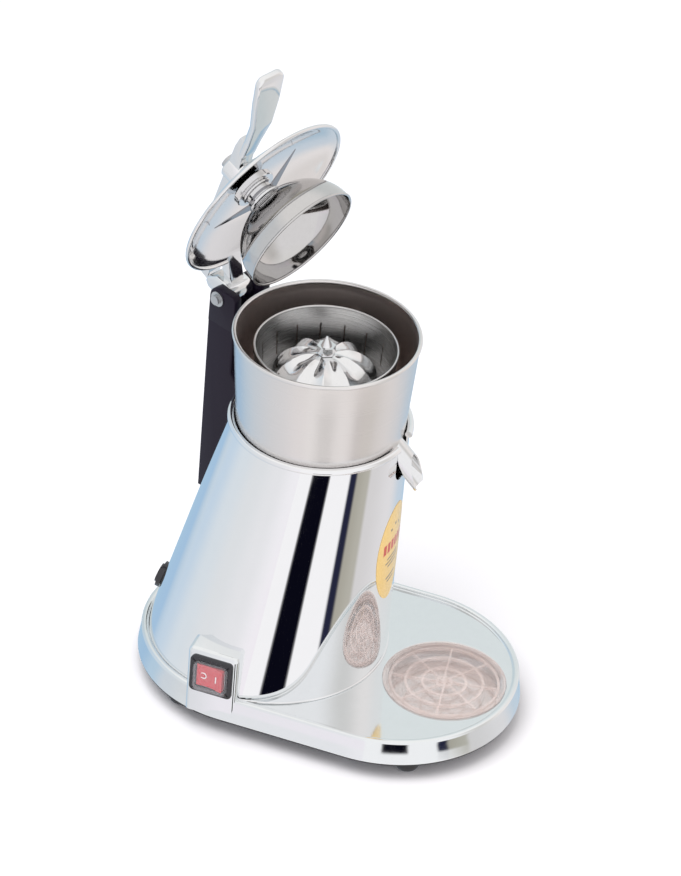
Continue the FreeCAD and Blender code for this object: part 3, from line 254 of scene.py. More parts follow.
# The switch housing is a rounded block whose top runs back into the shell.
block = bmesh.ops.create_cube(base, size=1.0)["verts"]
bmesh.ops.scale(base, vec=(BLOCK_DEEP, BLOCK_LONG, BLOCK_TALL), verts=block)
bmesh.ops.translate(base, vec=(FACE_X + BLOCK_DEEP / 2, SWITCH_Y, BLOCK_LOW + BLOCK_TALL / 2),
                    verts=block)
for v in block:
    if v.co.x < -90 and v.co.z > 60:
        v.co.z -= BLOCK_FALL
round_edges = [e for e in base.edges if all(v in block for v in e.verts)
               and min(v.co.x for v in e.verts) < -90 and max(v.co.z for v in e.verts) > 40]
bmesh.ops.bevel(base, geom=round_edges, offset=BLOCK_ROUND, offset_type="OFFSET", affect="EDGES",
                segments=5, profile=0.5, material=-1)
base_skin = finished(base, "base_skin", "body", ["base_casting"], crease=40)
CHROME = surface("casting_chrome", (0.86, 0.885, 0.895), 1.0, (0.045, 0.10), (26.0, 0.10),
                 grain=140.0, shade=0.95)
base_skin.data.materials.append(CHROME)

# ------------------------------------------------------- gasket, cover and feet
# A rubber line seals a flat steel cover under the base, held by zinc screws.
# The feet are moulded rubber domes, each on its own screw.
nodes = frame["nodes"]
RUBBER = surface("rubber_black", (0.018, 0.017, 0.02), 0.0, (0.42, 0.6), (60.0, 0.05), 2500.0)
COVER = surface("cover_paint", (0.04, 0.04, 0.045), 0.0, (0.45, 0.6), (90.0, 0.05), 1800.0)
ZINC = surface("zinc_plate", (0.60, 0.61, 0.62), 1.0, (0.28, 0.42), (150.0, 0.03), 2500.0)


def dressed(finish, *names):
    """Gives a finish to parts that keep their own shape."""
    for name in names:
        nodes[name].data.materials.clear()
        nodes[name].data.materials.append(finish)


def absorb(mesh, other):
    """Moves the geometry of another mesh into this one."""
    data = bpy.data.meshes.new("absorbed")
    other.to_mesh(data)
    other.free()
    mesh.from_mesh(data)
    bpy.data.meshes.remove(data)


FOOT_ACROSS = 86.0 * 0.866
FOOT_ALONG = HALF_STRAIGHT + 43.0
feet = bmesh.new()
foot_line = [(0.0, 0.4), (6.6, 0.4), (7.9, 0.9)] + arc(0.0, 7.2, 10.4, -38, 0, 8)[1:]
foot_line += [(11.0, 9.2), (11.0, 14.5), (0.0, 14.5)]
for side in (-1, 1):
    for end in (-1, 1):
        foot = spun(foot_line, 48, closed=False)
        bmesh.ops.translate(foot, vec=(side * FOOT_ACROSS, end * FOOT_ALONG, 0), verts=foot.verts)
        absorb(feet, foot)
feet_skin = finished(feet, "feet_skin", "body", ["rubber_feet"])
feet_skin.data.materials.append(RUBBER)
dressed(RUBBER, "base_gasket")
dressed(COVER, "bottom_cover")
dressed(ZINC, "cover_screws", "foot_screws", "body_screws")

# ------------------------------------------------------------------- body shell
# The body is a tall leaning cone of polished steel, spun and welded, 1.5 mm thick.
# Its top edge is rolled into a bead, which stops at the notch for the spout, and a
# fine bead runs round its foot.
SHELL_TOP = 253.0
SHELL_LOW = 97.0
SHELL_HIGH = 70.5
SHELL_WALL = 1.5
LIP_BEAD = 2.9
NOTCH_HALF = 11.5
NOTCH_ROUND = 230.5


def lean(mesh, low=DECK_Z, high=SHELL_TOP):
    """Leans a part turned about the vertical so that it follows the body."""
    slope = (AXIS_Y - HALF_STRAIGHT) / (high - low)
    shear = Matrix.Identity(4)
    shear[1][2] = slope
    shear[1][3] = HALF_STRAIGHT - slope * low
    bmesh.ops.transform(mesh, matrix=shear, verts=mesh.verts)


shell = bmesh.new()
heights = [DECK_Z + (SHELL_TOP - DECK_Z) * i / 24 for i in range(25)]
run = (SHELL_HIGH - SHELL_LOW) / (SHELL_TOP - DECK_Z)
shell_line = [(SHELL_LOW + run * (z - DECK_Z), z) for z in heights]
shell = spun(shell_line, 240, closed=False)
lean(shell)


def cut_line(point, normal):
    """Cuts the front of the shell along a plane, near the notch only."""
    near = [f for f in shell.faces if f.calc_center_median().y < -20
            and abs(f.calc_center_median().x) < 22 and f.calc_center_median().z > 205]
    geom = list({v for f in near for v in f.verts} | {e for f in near for e in f.edges}) + near
    bmesh.ops.bisect_plane(shell, geom=geom, plane_co=point, plane_no=normal, dist=1e-4)


for side in (-1, 1):
    cut_line((side * NOTCH_HALF, 0, 0), (1, 0, 0))
for i in range(1, 12):
    turn = math.radians(180 + 15 * i)
    across, up = math.cos(turn), math.sin(turn)
    cut_line((NOTCH_HALF * across, 0, NOTCH_ROUND + NOTCH_HALF * up), (across, 0, up))
gone = []
for f in shell.faces:
    centre = f.calc_center_median()
    inside = abs(centre.x) < NOTCH_HALF and centre.y < -20
    low = centre.z < NOTCH_ROUND and Vector((centre.x, centre.z - NOTCH_ROUND)).length > NOTCH_HALF
    if inside and centre.z > NOTCH_ROUND - NOTCH_HALF and not low:
        gone.append(f)
bmesh.ops.delete(shell, geom=gone, context="FACES")
bmesh.ops.recalc_face_normals(shell, faces=shell.faces)
bmesh.ops.solidify(shell, geom=shell.faces[:], thickness=SHELL_WALL)
half_gap = math.degrees(math.asin(NOTCH_HALF / SHELL_HIGH))
bead = spun(arc(SHELL_HIGH, SHELL_TOP, LIP_BEAD, 0, 345, 15), 160, 360 - 2 * half_gap)
bmesh.ops.rotate(bead, verts=bead.verts, cent=(0, 0, 0),
                 matrix=Matrix.Rotation(math.radians(-90 + half_gap), 3, "Z"))
bmesh.ops.holes_fill(bead, edges=[e for e in bead.edges if e.is_boundary], sides=0)
bmesh.ops.translate(bead, vec=(0, AXIS_Y, 0), verts=bead.verts)
spun(arc(SHELL_LOW + 0.1, DECK_Z + 0.9, 0.8, 0, 324, 9), 160, mesh=bead)
foot_bead = [v for v in bead.verts if v.co.z < SHELL_TOP - 100]
bmesh.ops.translate(bead, vec=(0, HALF_STRAIGHT - 0.1, 0), verts=foot_bead)
lip_skin = finished(bead, "shell_lip", "body")
body_skin = finished(shell, "body_skin", "body", ["body_shell"], crease=50)
MIRROR = surface("shell_polish", (0.90, 0.905, 0.915), 1.0, (0.02, 0.045), (7.0, 0.10),
                 grain=60.0, shade=0.97)
body_skin.data.materials.append(MIRROR)
lip_skin.data.materials.append(MIRROR)

# ------------------------------------------------------------- juice bowl, spout
# The bowl is deep-drawn stainless steel with a beaded rim. The spout is a short
# tube brazed to its front, cut to an open beak at the end.
BOWL_LOW = 239.0
BOWL_FOOT = 67.0
BOWL_INSIDE_TOP = 330.0
HUB_BORE = 13.0
bowl_line = [(HUB_BORE, BOWL_LOW), (BOWL_FOOT, BOWL_LOW), (BOWL_FOOT, 254.0), (67.2, 257.5),
             (68.0, 268.0), (70.6, 302.0), (72.6, 328.0)]
bowl_line += arc(72.6, 334.2, 1.8, -70, 215, 12)
bowl_line += [(71.0, 326.0), (69.2, 302.0), (66.6, 268.0), (65.9, 257.0), (65.8, 254.0)]
bowl_line += arc(59.8, 246.2, 6.0, 0, -90, 6)
bowl_line += [(30.0, 240.2)] + arc(21.0, 244.2, 4.0, -90, -180, 5)
bowl_line += [(17.0, 263.0), (14.2, 263.4), (14.2, 272.0), (HUB_BORE, 272.0)]
bowl = spun(bowl_line, 160)
bmesh.ops.translate(bowl, vec=(0, AXIS_Y, 0), verts=bowl.verts)
bowl_skin = finished(bowl, "bowl_skin", "body", ["juice_bowl"], crease=40)
BRIGHT = surface("steel_bright", (0.84, 0.82, 0.81), 1.0, (0.20, 0.28), (0.0, 0.006),
                 brushed=2600.0, shade=0.93)
bowl_skin.data.materials.append(BRIGHT)
# The inside of the bowl is the same steel, coloured lighter and warmer: painted light and painted
# reflection, standing in for the warm light that fills the bowl.
BOWL_INSIDE_PAINTED_LIGHT = surface("bowl_inside_painted_light", (0.86, 0.77, 0.74), 1.0, (0.30, 0.42), (0.0, 0.008),
                brushed=2600.0, shade=0.9)
bowl_skin.data.materials.append(BOWL_INSIDE_PAINTED_LIGHT)
# Faces that look in towards the bowl's axis, below its rim, take the painted light.
for face in bowl_skin.data.polygons:
    outward = Vector((face.center.x, face.center.y - AXIS_Y * MM, 0))
    if face.normal.dot(outward) < -0.01 and face.center.z < BOWL_INSIDE_TOP * MM:
        face.material_index = 1

SPOUT_RADIUS = 9.4
SPOUT_WALL = 1.2
SPOUT_RINGS = 21
RING_GAP = 2.15
SPOUT_START = Vector((0, -34.0, 252.0))
SPOUT_SLOPE = math.radians(45)
BOWL_FRONT_Y = -43.6
BEAK_REACH = 21.0
spout = bmesh.new()
bmesh.ops.create_circle(spout, segments=48, radius=SPOUT_RADIUS)
rim_edges = spout.edges[:]
for _ in range(SPOUT_RINGS):
    rise = bmesh.ops.extrude_edge_only(spout, edges=rim_edges)
    top_ring = [item for item in rise["geom"] if isinstance(item, bmesh.types.BMVert)]
    rim_edges = [item for item in rise["geom"] if isinstance(item, bmesh.types.BMEdge)
                 and all(v in top_ring for v in item.verts)]
    bmesh.ops.translate(spout, vec=(0, 0, RING_GAP), verts=top_ring)
bmesh.ops.rotate(spout, verts=spout.verts, cent=(0, 0, 0),
                 matrix=Matrix.Rotation(math.pi - SPOUT_SLOPE, 3, "X"))
bmesh.ops.translate(spout, vec=SPOUT_START, verts=spout.verts)
bmesh.ops.bisect_plane(spout, geom=spout.verts[:] + spout.edges[:] + spout.faces[:],
                       plane_co=(0, BOWL_FRONT_Y, 0), plane_no=(0, 1, 0), clear_outer=True,
                       dist=1e-4)
along = Vector((0, -math.cos(SPOUT_SLOPE), -math.sin(SPOUT_SLOPE)))
above = Vector((0, -math.sin(SPOUT_SLOPE), math.cos(SPOUT_SLOPE)))
beak_start = SPOUT_START + along * BEAK_REACH + above * SPOUT_RADIUS
nib = (along * 0.50 + above * 0.866).normalized()
bmesh.ops.bisect_plane(spout, geom=spout.verts[:] + spout.edges[:] + spout.faces[:],
                       plane_co=beak_start, plane_no=nib, clear_outer=True, dist=1e-4)
bmesh.ops.recalc_face_normals(spout, faces=spout.faces)
bmesh.ops.solidify(spout, geom=spout.faces[:], thickness=SPOUT_WALL)
spout_skin = finished(spout, "spout_skin", "body", ["spout_tube"], crease=45)
TUBE = surface("spout_steel", (0.86, 0.865, 0.87), 1.0, (0.05, 0.09), (120.0, 0.05), 500.0)
spout_skin.data.materials.append(TUBE)

# ---------------------------------------------------------------------- strainer
# A thin stainless basket with a brushed finish. Narrow upright slots round its
# wall and short ones in its floor let the juice through.
STRAINER_FLOOR = 263.0
SLOT_TOP = 307.0
SLOT_LOW = 285.0
COLUMNS = 252
SLOT_EVERY = 14
STRAINER_WALL = 0.8
strainer_line = [(15.0, STRAINER_FLOOR), (21.0, STRAINER_FLOOR), (40.0, STRAINER_FLOOR),
                 (47.0, STRAINER_FLOOR)]
strainer_line += arc(49.0, 267.0, 4.0, -90, -3, 5)
strainer_line += [(54.3, SLOT_LOW), (54.9, 296.0), (55.6, SLOT_TOP), (56.5, 321.5)]
basket = spun(strainer_line, COLUMNS, closed=False)
gone = []
for f in basket.faces:
    centre = f.calc_center_median()
    column = int(math.degrees(math.atan2(centre.y, centre.x)) % 360 * COLUMNS / 360)
    wall_slot = SLOT_LOW < centre.z < SLOT_TOP
    floor_slot = abs(centre.z - STRAINER_FLOOR) < 0.1 and 21.5 < centre.xy.length < 46.5
    if column % SLOT_EVERY == 3 and (wall_slot or floor_slot):
        gone.append(f)
bmesh.ops.delete(basket, geom=gone, context="FACES")
bmesh.ops.recalc_face_normals(basket, faces=basket.faces)
bmesh.ops.solidify(basket, geom=basket.faces[:], thickness=STRAINER_WALL)
spun(arc(56.1, 322.0, 1.0, 0, 330, 11), 126, mesh=basket)
bmesh.ops.translate(basket, vec=(0, AXIS_Y, 0), verts=basket.verts)
basket_skin = finished(basket, "basket_skin", "body", ["strainer"], crease=40)
SATIN = surface("steel_satin", (0.74, 0.735, 0.73), 1.0, (0.22, 0.33), (0.0, 0.012),
                brushed=3400.0, shade=0.86)
basket_skin.data.materials.append(SATIN)

# ------------------------------------------------------------------------ reamer
# The reamer is cast aluminium, polished all over, with ten ribs that rise from
# the skirt and fade into the crown. A hexagon nut with a spike holds it down.
REAMER_LOW = 277.0
REAMER_RADIUS = 41.0
CROWN_LOW = REAMER_LOW + 12.0
RIB_TURN = 36
RIB_HIGH = 2.3
FLUTE_DEEP = 4.0
reamer_line = [(10.0, REAMER_LOW + 0.6), (40.2, REAMER_LOW), (REAMER_RADIUS, REAMER_LOW + 0.8),
               (REAMER_RADIUS, REAMER_LOW + 7.0), (40.8, CROWN_LOW)]
for i in range(1, 15):
    share = i / 14
    across = 7.0 + 33.8 * math.cos(share * math.pi / 2) ** 0.95
    up = CROWN_LOW + 27.6 * math.sin(share * math.pi / 2)
    reamer_line.append((across, up))
reamer_line += [(4.2, 316.8), (4.2, 312.0)]
cone = spun(reamer_line, 240, closed=False)
for v in cone.verts:
    reach = v.co.xy.length
    if v.co.z < REAMER_LOW + 0.5 or reach < 9:
        continue
    angle = math.degrees(math.atan2(v.co.y, v.co.x))
    between = ((angle + RIB_TURN / 2) % RIB_TURN) / RIB_TURN
    ridge = RIB_HIGH - FLUTE_DEEP * (1 - abs(2 * between - 1) ** 1.7)
    fade = min(1.0, (v.co.z - REAMER_LOW) / 3) * min(1.0, (reach - 8) / 9)
    lift = ridge * fade
    up_share = min(1.0, max(0.0, (v.co.z - REAMER_LOW - 10) / 28))
    v.co.xy = v.co.xy * (1 + lift * (1 - up_share * 0.75) / reach)
    v.co.z += lift * up_share * 0.8
bmesh.ops.translate(cone, vec=(0, AXIS_Y, 0), verts=cone.verts)
reamer_skin = finished(cone, "reamer_skin", "spindle", ["reamer"], crease=60)
POLISHED = surface("alu_polish", (0.87, 0.87, 0.875), 1.0, (0.07, 0.14), (55.0, 0.16),
                   grain=400.0, shade=0.92)
reamer_skin.data.materials.append(POLISHED)
SEAL = surface("seal_rubber", (0.07, 0.065, 0.065), 0.0, (0.3, 0.45), (200.0, 0.05), 1500.0)
dressed(TUBE, "spike_nut", "drive_shaft", "bearing_upper", "bearing_lower")
dressed(SEAL, "shaft_seal")
dressed(RUBBER, "juice_slinger")

# ------------------------------------------------------- motor inside the body
# A shaded induction motor hangs under the bowl floor on four spacers. It is hidden
# by the shell, so its parts keep their plain turned shapes with their own finishes.
LAMINATE = surface("laminate_steel", (0.26, 0.26, 0.27), 1.0, (0.4, 0.55), (0.0, 0.02),
                   brushed=1500.0, shade=0.7)
COPPER = surface("enamelled_copper", (0.62, 0.27, 0.12), 1.0, (0.25, 0.4), (0.0, 0.05),
                 brushed=900.0, shade=0.7)
CAST = surface("cast_aluminium", (0.62, 0.63, 0.64), 1.0, (0.4, 0.55), (300.0, 0.08), 1200.0)
NYLON = surface("nylon_ivory", (0.80, 0.77, 0.69), 0.0, (0.4, 0.5), (120.0, 0.03), 900.0)
dressed(LAMINATE, "stator_core", "rotor_core")
dressed(COPPER, "windings_upper", "windings_lower")
dressed(CAST, "motor_bell_upper", "motor_bell_lower", "start_capacitor")
dressed(SATIN, "motor_deck")
dressed(ZINC, "motor_bolts", "motor_spacers", "deck_screws", "drive_pin", "capacitor_nut")
dressed(NYLON, "cooling_fan", "terminal_block")

# ------------------------------------------------------------------ hinge column
# The column is cast aluminium with a satin black coat. It is screwed to the rear
# of the shell through a backing plate and ends in two ears for the hinge pin.
HINGE_Y = 122.5
HINGE_Z = 324.5
LEVER_TURN = math.radians(-22.5)
COLUMN_WIDTH = 39.7
EAR_THICK = 7.9
about_bowl = (Matrix.Translation((0, AXIS_Y, 0)) @ Matrix.Rotation(LEVER_TURN, 4, "Z")
              @ Matrix.Translation((0, -AXIS_Y, 0)))


def slab(mesh, points, width, edge=1.5, segments=4, across=0.0):
    """A plate from a side outline of (y, z) points, with its edges rounded."""
    corners = [mesh.verts.new((across - width / 2, y, z)) for y, z in points]
    for pair in zip(corners, corners[1:] + corners[:1]):
        mesh.edges.new(pair)
    side = bmesh.ops.contextual_create(mesh, geom=corners)["faces"]
    pushed = bmesh.ops.extrude_face_region(mesh, geom=side, use_keep_orig=True)["geom"]
    moved = [item for item in pushed if isinstance(item, bmesh.types.BMVert)]
    bmesh.ops.translate(mesh, vec=(width, 0, 0), verts=moved)
    both = set(corners) | set(moved)
    faces = [f for f in mesh.faces if all(v in both for v in f.verts)]
    bmesh.ops.recalc_face_normals(mesh, faces=faces)
    caps = [f for f in faces if len(f.verts) == len(points) and abs(f.normal.x) > 0.9]
    rims = list({e for f in caps for e in f.edges})
    bmesh.ops.bevel(mesh, geom=rims, offset=edge, offset_type="OFFSET", affect="EDGES",
                    segments=segments, profile=0.5, material=-1, clamp_overlap=True)


column = bmesh.new()
ear_top = arc(HINGE_Y, HINGE_Z, 9.0, 0, 90, 8)
ear = [(107.0, 333.4), (104.2, 330.0), (104.2, 300.0), (132.0, 300.0)]
ear += ear_top[:-1] + [(HINGE_Y, HINGE_Z + 9.0)]
for side in (-1, 1):
    slab(column, ear, EAR_THICK, 1.0, 3, across=side * 15.95)
trunk = [(104.2, 312.0), (104.2, 262.0), (98.0, 255.0), (96.5, 250.0), (106.5, 200.0),
         (112.5, 160.0), (115.5, 139.0), (132.0, 139.0), (132.0, 312.0)]
slab(column, trunk, COLUMN_WIDTH, 1.6, 4)
column_skin = finished(column, "column_skin", "body", ["hinge_column"],
                       place=about_bowl, crease=38)
BLACK = surface("column_coat", (0.010, 0.006, 0.017), 0.0, (0.34, 0.46), (220.0, 0.04), 1600.0)
BLACK.node_tree.nodes["Principled BSDF"].inputs["Specular IOR Level"].default_value = 0.22
column_skin.data.materials.append(BLACK)
dressed(ZINC, "column_backing_plate", "column_screws", "hinge_pin", "pin_clips")

# --------------------------------------------------------------------- lever arm
# The lever is one polished aluminium casting: a knuckle between the ears, a web,
# a curved arm over the lid and a broad paddle for the hand.
joint = next(j for j in frame["joints"] if j["name"] == "lever_hinge")
pin_at = Vector(joint["pos_m"]) / MM
swing = Matrix.Translation(pin_at) @ Matrix.Rotation(math.radians(-joint["range_deg"][1]), 4,
                                                     Vector(joint["axis"]))
raised = swing @ Matrix.Translation(-pin_at) @ about_bowl
KNUCKLE_WIDTH = 23.2
ARM_WIDTH = 14.0
PADDLE_THICK = 6.0
PADDLE_Z = 366.0
BEND_FROM = 34.0
lever = bmesh.new()
knuckle = arc(HINGE_Y, HINGE_Z, 8.9, 180, 360, 20)
knuckle += [(131.4, 342.0), (128.0, 346.0), (124.0, 346.5), (116.0, 339.0)]
slab(lever, knuckle, KNUCKLE_WIDTH, 1.2, 3)
arm = [(131.3, 326.0), (131.4, 348.0), (130.6, 355.0), (127.6, 361.5), (123.5, 366.5),
       (118.0, 369.4)]
arm += [(60.0, 373.6), (20.0, 376.2), (-3.0, 377.4), (-12.0, 376.4), (-15.0, 375.4)]
arm += [(-10.0, 369.0), (3.0, 362.8), (20.0, 360.8), (43.0, 360.6), (70.0, 357.0), (90.0, 353.6),
        (104.0, 345.0), (110.5, 337.5), (114.0, 326.0)]
slab(lever, arm, ARM_WIDTH, 3.2, 5)
pad = spun([(0.0, 358.8), (10.2, 358.8), (11.0, 359.8), (11.0, 376.0), (10.0, 377.0),
            (0.0, 377.0)], 64, closed=False)
bmesh.ops.translate(pad, vec=(0, AXIS_Y, 0), verts=pad.verts)
absorb(lever, pad)

paddle = bmesh.new()
plan = [(-7.0, 2.0), (-7.6, -14.0), (-10.4, -34.0), (-13.2, -56.0)]
tip = arc(-7.2, -75.0, 6.6, 180, 270, 6) + arc(7.2, -75.0, 6.6, 270, 360, 6)
plan = plan + tip + [(-x, y) for x, y in reversed(plan)]
corners = [paddle.verts.new((x, y, 0)) for x, y in plan]
for pair in zip(corners, corners[1:] + corners[:1]):
    paddle.edges.new(pair)
bmesh.ops.contextual_create(paddle, geom=corners)
for y in range(-76, 0, 4):
    bmesh.ops.bisect_plane(paddle, geom=paddle.verts[:] + paddle.edges[:] + paddle.faces[:],
                           plane_co=(0, y, 0), plane_no=(0, 1, 0), dist=1e-4)
lifted = bmesh.ops.extrude_face_region(paddle, geom=paddle.faces[:], use_keep_orig=True)["geom"]
upper = [item for item in lifted if isinstance(item, bmesh.types.BMVert)]
bmesh.ops.translate(paddle, vec=(0, 0, PADDLE_THICK), verts=upper)
bmesh.ops.recalc_face_normals(paddle, faces=paddle.faces)
rims = [e for e in paddle.edges if len(e.link_faces) == 2 and e.calc_face_angle(0) > 1.2
        and abs(e.verts[0].co.z - e.verts[1].co.z) < 1]
bmesh.ops.bevel(paddle, geom=rims, offset=1.8, offset_type="OFFSET", affect="EDGES", segments=4,
                profile=0.5, material=-1)
for v in paddle.verts:
    bend = max(0.0, -v.co.y - BEND_FROM)
    v.co.z += PADDLE_Z + 0.205 * bend + 0.0006 * bend * bend
absorb(lever, paddle)
lever_skin = finished(lever, "lever_skin", "lever", ["lever_arm"], place=raised,
                      crease=42)
LEVER = surface("lever_polish", (0.88, 0.885, 0.89), 1.0, (0.05, 0.11), (48.0, 0.22),
                grain=300.0, shade=0.94)
lever_skin.data.materials.append(LEVER)
dressed(NYLON, "knuckle_bush")
dressed(ZINC, "press_bolt")

# ------------------------------------------------------ lid dish and press cup
# The lid is a shallow spun dish with a rolled edge, and the press cup below it is a
# deep bowl on a ringed stem. All are stainless, with a leaf spring between them.
DISH_Z = 338.6
CUP_Z = 292.5
CUP_TOP = 335.5
DISH_RADIUS = 76.4
DISH_DOME = 20.0
PRESS_WALL = 1.2
CUP_RADIUS = 49.5
BOLT_HOLE = 3.0


def swept(radius, rise, low, thick, flat, steps=18):
    """The wall of a shallow dome: out along the outside and back along the inside."""
    ball = (radius * radius + rise * rise) / (2 * rise)
    outside, inside = [], []
    for i in range(steps + 1):
        reach = flat + (radius - flat) * i / steps
        up = low + rise - ball + math.sqrt(max(ball * ball - reach * reach, 0.0))
        outside.append((reach, up))
        small = ball - thick
        inner_reach = min(reach, small)
        inside.append((inner_reach, low + rise - ball
                       + math.sqrt(max(small * small - inner_reach * inner_reach, 0.0))))
    return outside, inside


outside, inside = swept(DISH_RADIUS, DISH_DOME, DISH_Z, PRESS_WALL, BOLT_HOLE)
dish = spun([p for p in outside if p[1] >= DISH_Z - 0.1]
            + [p for p in reversed(inside) if p[1] >= DISH_Z - PRESS_WALL], 160)
spun(arc(DISH_RADIUS, DISH_Z, 1.6, 0, 330, 11), 160, mesh=dish)
bmesh.ops.translate(dish, vec=(0, AXIS_Y, 0), verts=dish.verts)
dish_skin = finished(dish, "dish_skin", "lever", ["lid_dish"], place=raised,
                     crease=40)
DISH = surface("dish_steel", (0.86, 0.86, 0.865), 1.0, (0.06, 0.11), (22.0, 0.12), grain=260.0,
               shade=0.94)
dish_skin.data.materials.append(DISH)

cup_out, cup_in = [], []
for i in range(25):
    turn = math.radians(90 - 90 * i / 24)
    rise = math.sin(turn) ** 0.92
    cup_out.append((CUP_RADIUS * math.cos(turn), CUP_Z + (CUP_TOP - CUP_Z) * rise))
    cup_in.append(((CUP_RADIUS - PRESS_WALL) * math.cos(turn),
                   CUP_Z + (CUP_TOP - PRESS_WALL - CUP_Z) * rise))
cup_out[0] = (BOLT_HOLE, CUP_TOP)
cup_in[0] = (BOLT_HOLE, CUP_TOP - PRESS_WALL)
cup = spun(cup_out + list(reversed(cup_in)), 128)
spun(arc(48.9, CUP_Z, 1.1, 0, 330, 11), 128, mesh=cup)
bmesh.ops.translate(cup, vec=(0, AXIS_Y, 0), verts=cup.verts)
cup_skin = finished(cup, "cup_skin", "lever", ["press_cup"], place=raised,
                    crease=40)
# The cup is the same steel as the dish in a darker colour: painted shade, for the shade under the
# dish.
CUP = surface("cup_steel_painted_shade", (0.66, 0.65, 0.645), 1.0, (0.04, 0.09), (34.0, 0.30), grain=260.0,
              shade=0.9)
cup_skin.data.materials.append(CUP)

stem = spun([(BOLT_HOLE, CUP_TOP), (12.0, CUP_TOP - 0.2), (14.2, CUP_TOP - 0.5)]
            + arc(13.4, 336.6, 1.1, -45, 90, 5)
            + [(12.4, 338.0), (11.5, 338.2), (11.5, 339.5), (BOLT_HOLE, 339.5)], 96)
bmesh.ops.translate(stem, vec=(0, AXIS_Y, 0), verts=stem.verts)
stem_skin = finished(stem, "stem_skin", "lever", ["press_stem"], place=raised)
stem_skin.data.materials.append(TUBE)
neck = spun([(BOLT_HOLE, 341.0), (11.0, 341.0), (11.5, 341.6), (11.5, 344.4)]
            + arc(12.3, 345.9, 1.2, -90, 90, 6)
            + [(12.6, 347.2), (17.2, 347.2), (18.0, 348.0), (18.0, 352.2), (17.0, 353.2),
               (12.4, 356.2), (BOLT_HOLE, 356.2)], 96)
bmesh.ops.translate(neck, vec=(0, AXIS_Y, 0), verts=neck.verts)
neck_skin = finished(neck, "neck_skin", "lever", ["press_neck"], place=raised)
neck_skin.data.materials.append(POLISHED)
LEAF = surface("leaf_steel", (0.34, 0.34, 0.36), 1.0, (0.10, 0.2), (80.0, 0.05), 700.0)
dressed(LEAF, "leaf_spring")

# ------------------------------------------------------------------------ switch
# A sealed rocker switch: a black nylon frame, a red see-through key with two white
# marks, and a clear soft boot clipped over both.
BEZEL_DEEP, BEZEL_LONG, BEZEL_TALL = 2.5, 36.0, 34.0
BEZEL_BORDER = 6.0
BOOT_DEEP, BOOT_LONG, BOOT_TALL = 4.6, 28.4, 26.6
CORNER = 4.0
MARK_X, MARK_Y = -4.5, 5.6


def rounded_box(size, at, radius, segments=5, open_back=False):
    """A block with its four corners rounded, as seen from the front."""
    mesh = bmesh.new()
    corners = bmesh.ops.create_cube(mesh, size=1.0)["verts"]
    bmesh.ops.scale(mesh, vec=size, verts=corners)
    bmesh.ops.translate(mesh, vec=at, verts=corners)
    back = at[0] + size[0] / 2
    if open_back:
        bmesh.ops.delete(mesh, geom=[f for f in mesh.faces
                                     if f.calc_center_median().x > back - 0.01], context="FACES")
    along = [e for e in mesh.edges if abs(e.verts[0].co.x - e.verts[1].co.x) > 0.1]
    bmesh.ops.bevel(mesh, geom=along, offset=radius, offset_type="OFFSET", affect="EDGES",
                    segments=segments, profile=0.5, material=-1)
    return mesh


frame_block = rounded_box((BEZEL_DEEP, BEZEL_LONG, BEZEL_TALL),
                          (FACE_X - BEZEL_DEEP / 2, SWITCH_Y, SWITCH_Z), CORNER, 6)
caps = [f for f in frame_block.faces if abs(f.normal.x) > 0.9]
bmesh.ops.inset_individual(frame_block, faces=caps, thickness=BEZEL_BORDER, depth=0)
windows = [f for f in frame_block.faces if len(f.verts) > 8]
loops = list({e for f in windows for e in f.edges})
bmesh.ops.delete(frame_block, geom=windows, context="FACES_ONLY")
bmesh.ops.bridge_loops(frame_block, edges=loops)
bmesh.ops.bevel(frame_block, geom=[e for e in frame_block.edges if len(e.link_faces) == 2
                                   and e.calc_face_angle(0) > 1.2
                                   and max(v.co.x for v in e.verts) < FACE_X - 2.0],
                offset=0.7, offset_type="OFFSET", affect="EDGES", segments=3, profile=0.5,
                material=-1)
bezel_skin = finished(frame_block, "bezel_skin", "body", ["switch_bezel"])
GLOSS_BLACK = surface("switch_plastic", (0.012, 0.012, 0.016), 0.0, (0.16, 0.26), (300.0, 0.02),
                      1600.0, coat=0.3)
bezel_skin.data.materials.append(GLOSS_BLACK)
dressed(GLOSS_BLACK, "switch_case", "cable_gland", "gland_nut")
KEY_RED = surface("key_red", (0.62, 0.018, 0.03), 0.0, (0.12, 0.2), (260.0, 0.02), 900.0,
                  coat=0.5, shade=0.8)
dressed(KEY_RED, "switch_rocker")

marks = bmesh.new()
PIVOT = Vector((FACE_X + 1.5, SWITCH_Y, SWITCH_Z))
ring_mark = spun(arc(2.6, 0.0, 0.5, 0, 324, 9), 40)
bmesh.ops.rotate(ring_mark, verts=ring_mark.verts, cent=(0, 0, 0),
                 matrix=Matrix.Rotation(math.radians(90), 3, "Y"))
bmesh.ops.translate(ring_mark, vec=(MARK_X, MARK_Y, 0), verts=ring_mark.verts)
absorb(marks, ring_mark)
bar = bmesh.ops.create_cube(marks, size=1.0)["verts"]
bmesh.ops.scale(marks, vec=(0.9, 1.1, 6.0), verts=bar)
bmesh.ops.translate(marks, vec=(MARK_X, -MARK_Y, 0), verts=bar)
bmesh.ops.bevel(marks, geom=list({e for v in bar for e in v.link_edges}), offset=0.2,
                offset_type="OFFSET", affect="EDGES", segments=2, profile=0.5, material=-1)
tilted = Matrix.Translation(PIVOT) @ Matrix.Rotation(math.radians(-7), 4, "Z")
key_marks = finished(marks, "key_marks", "rocker", place=tilted)
MARK_WHITE = surface("mark_white", (0.85, 0.80, 0.80), 0.0, (0.3, 0.4), (300.0, 0.01), 900.0)
key_marks.data.materials.append(MARK_WHITE)

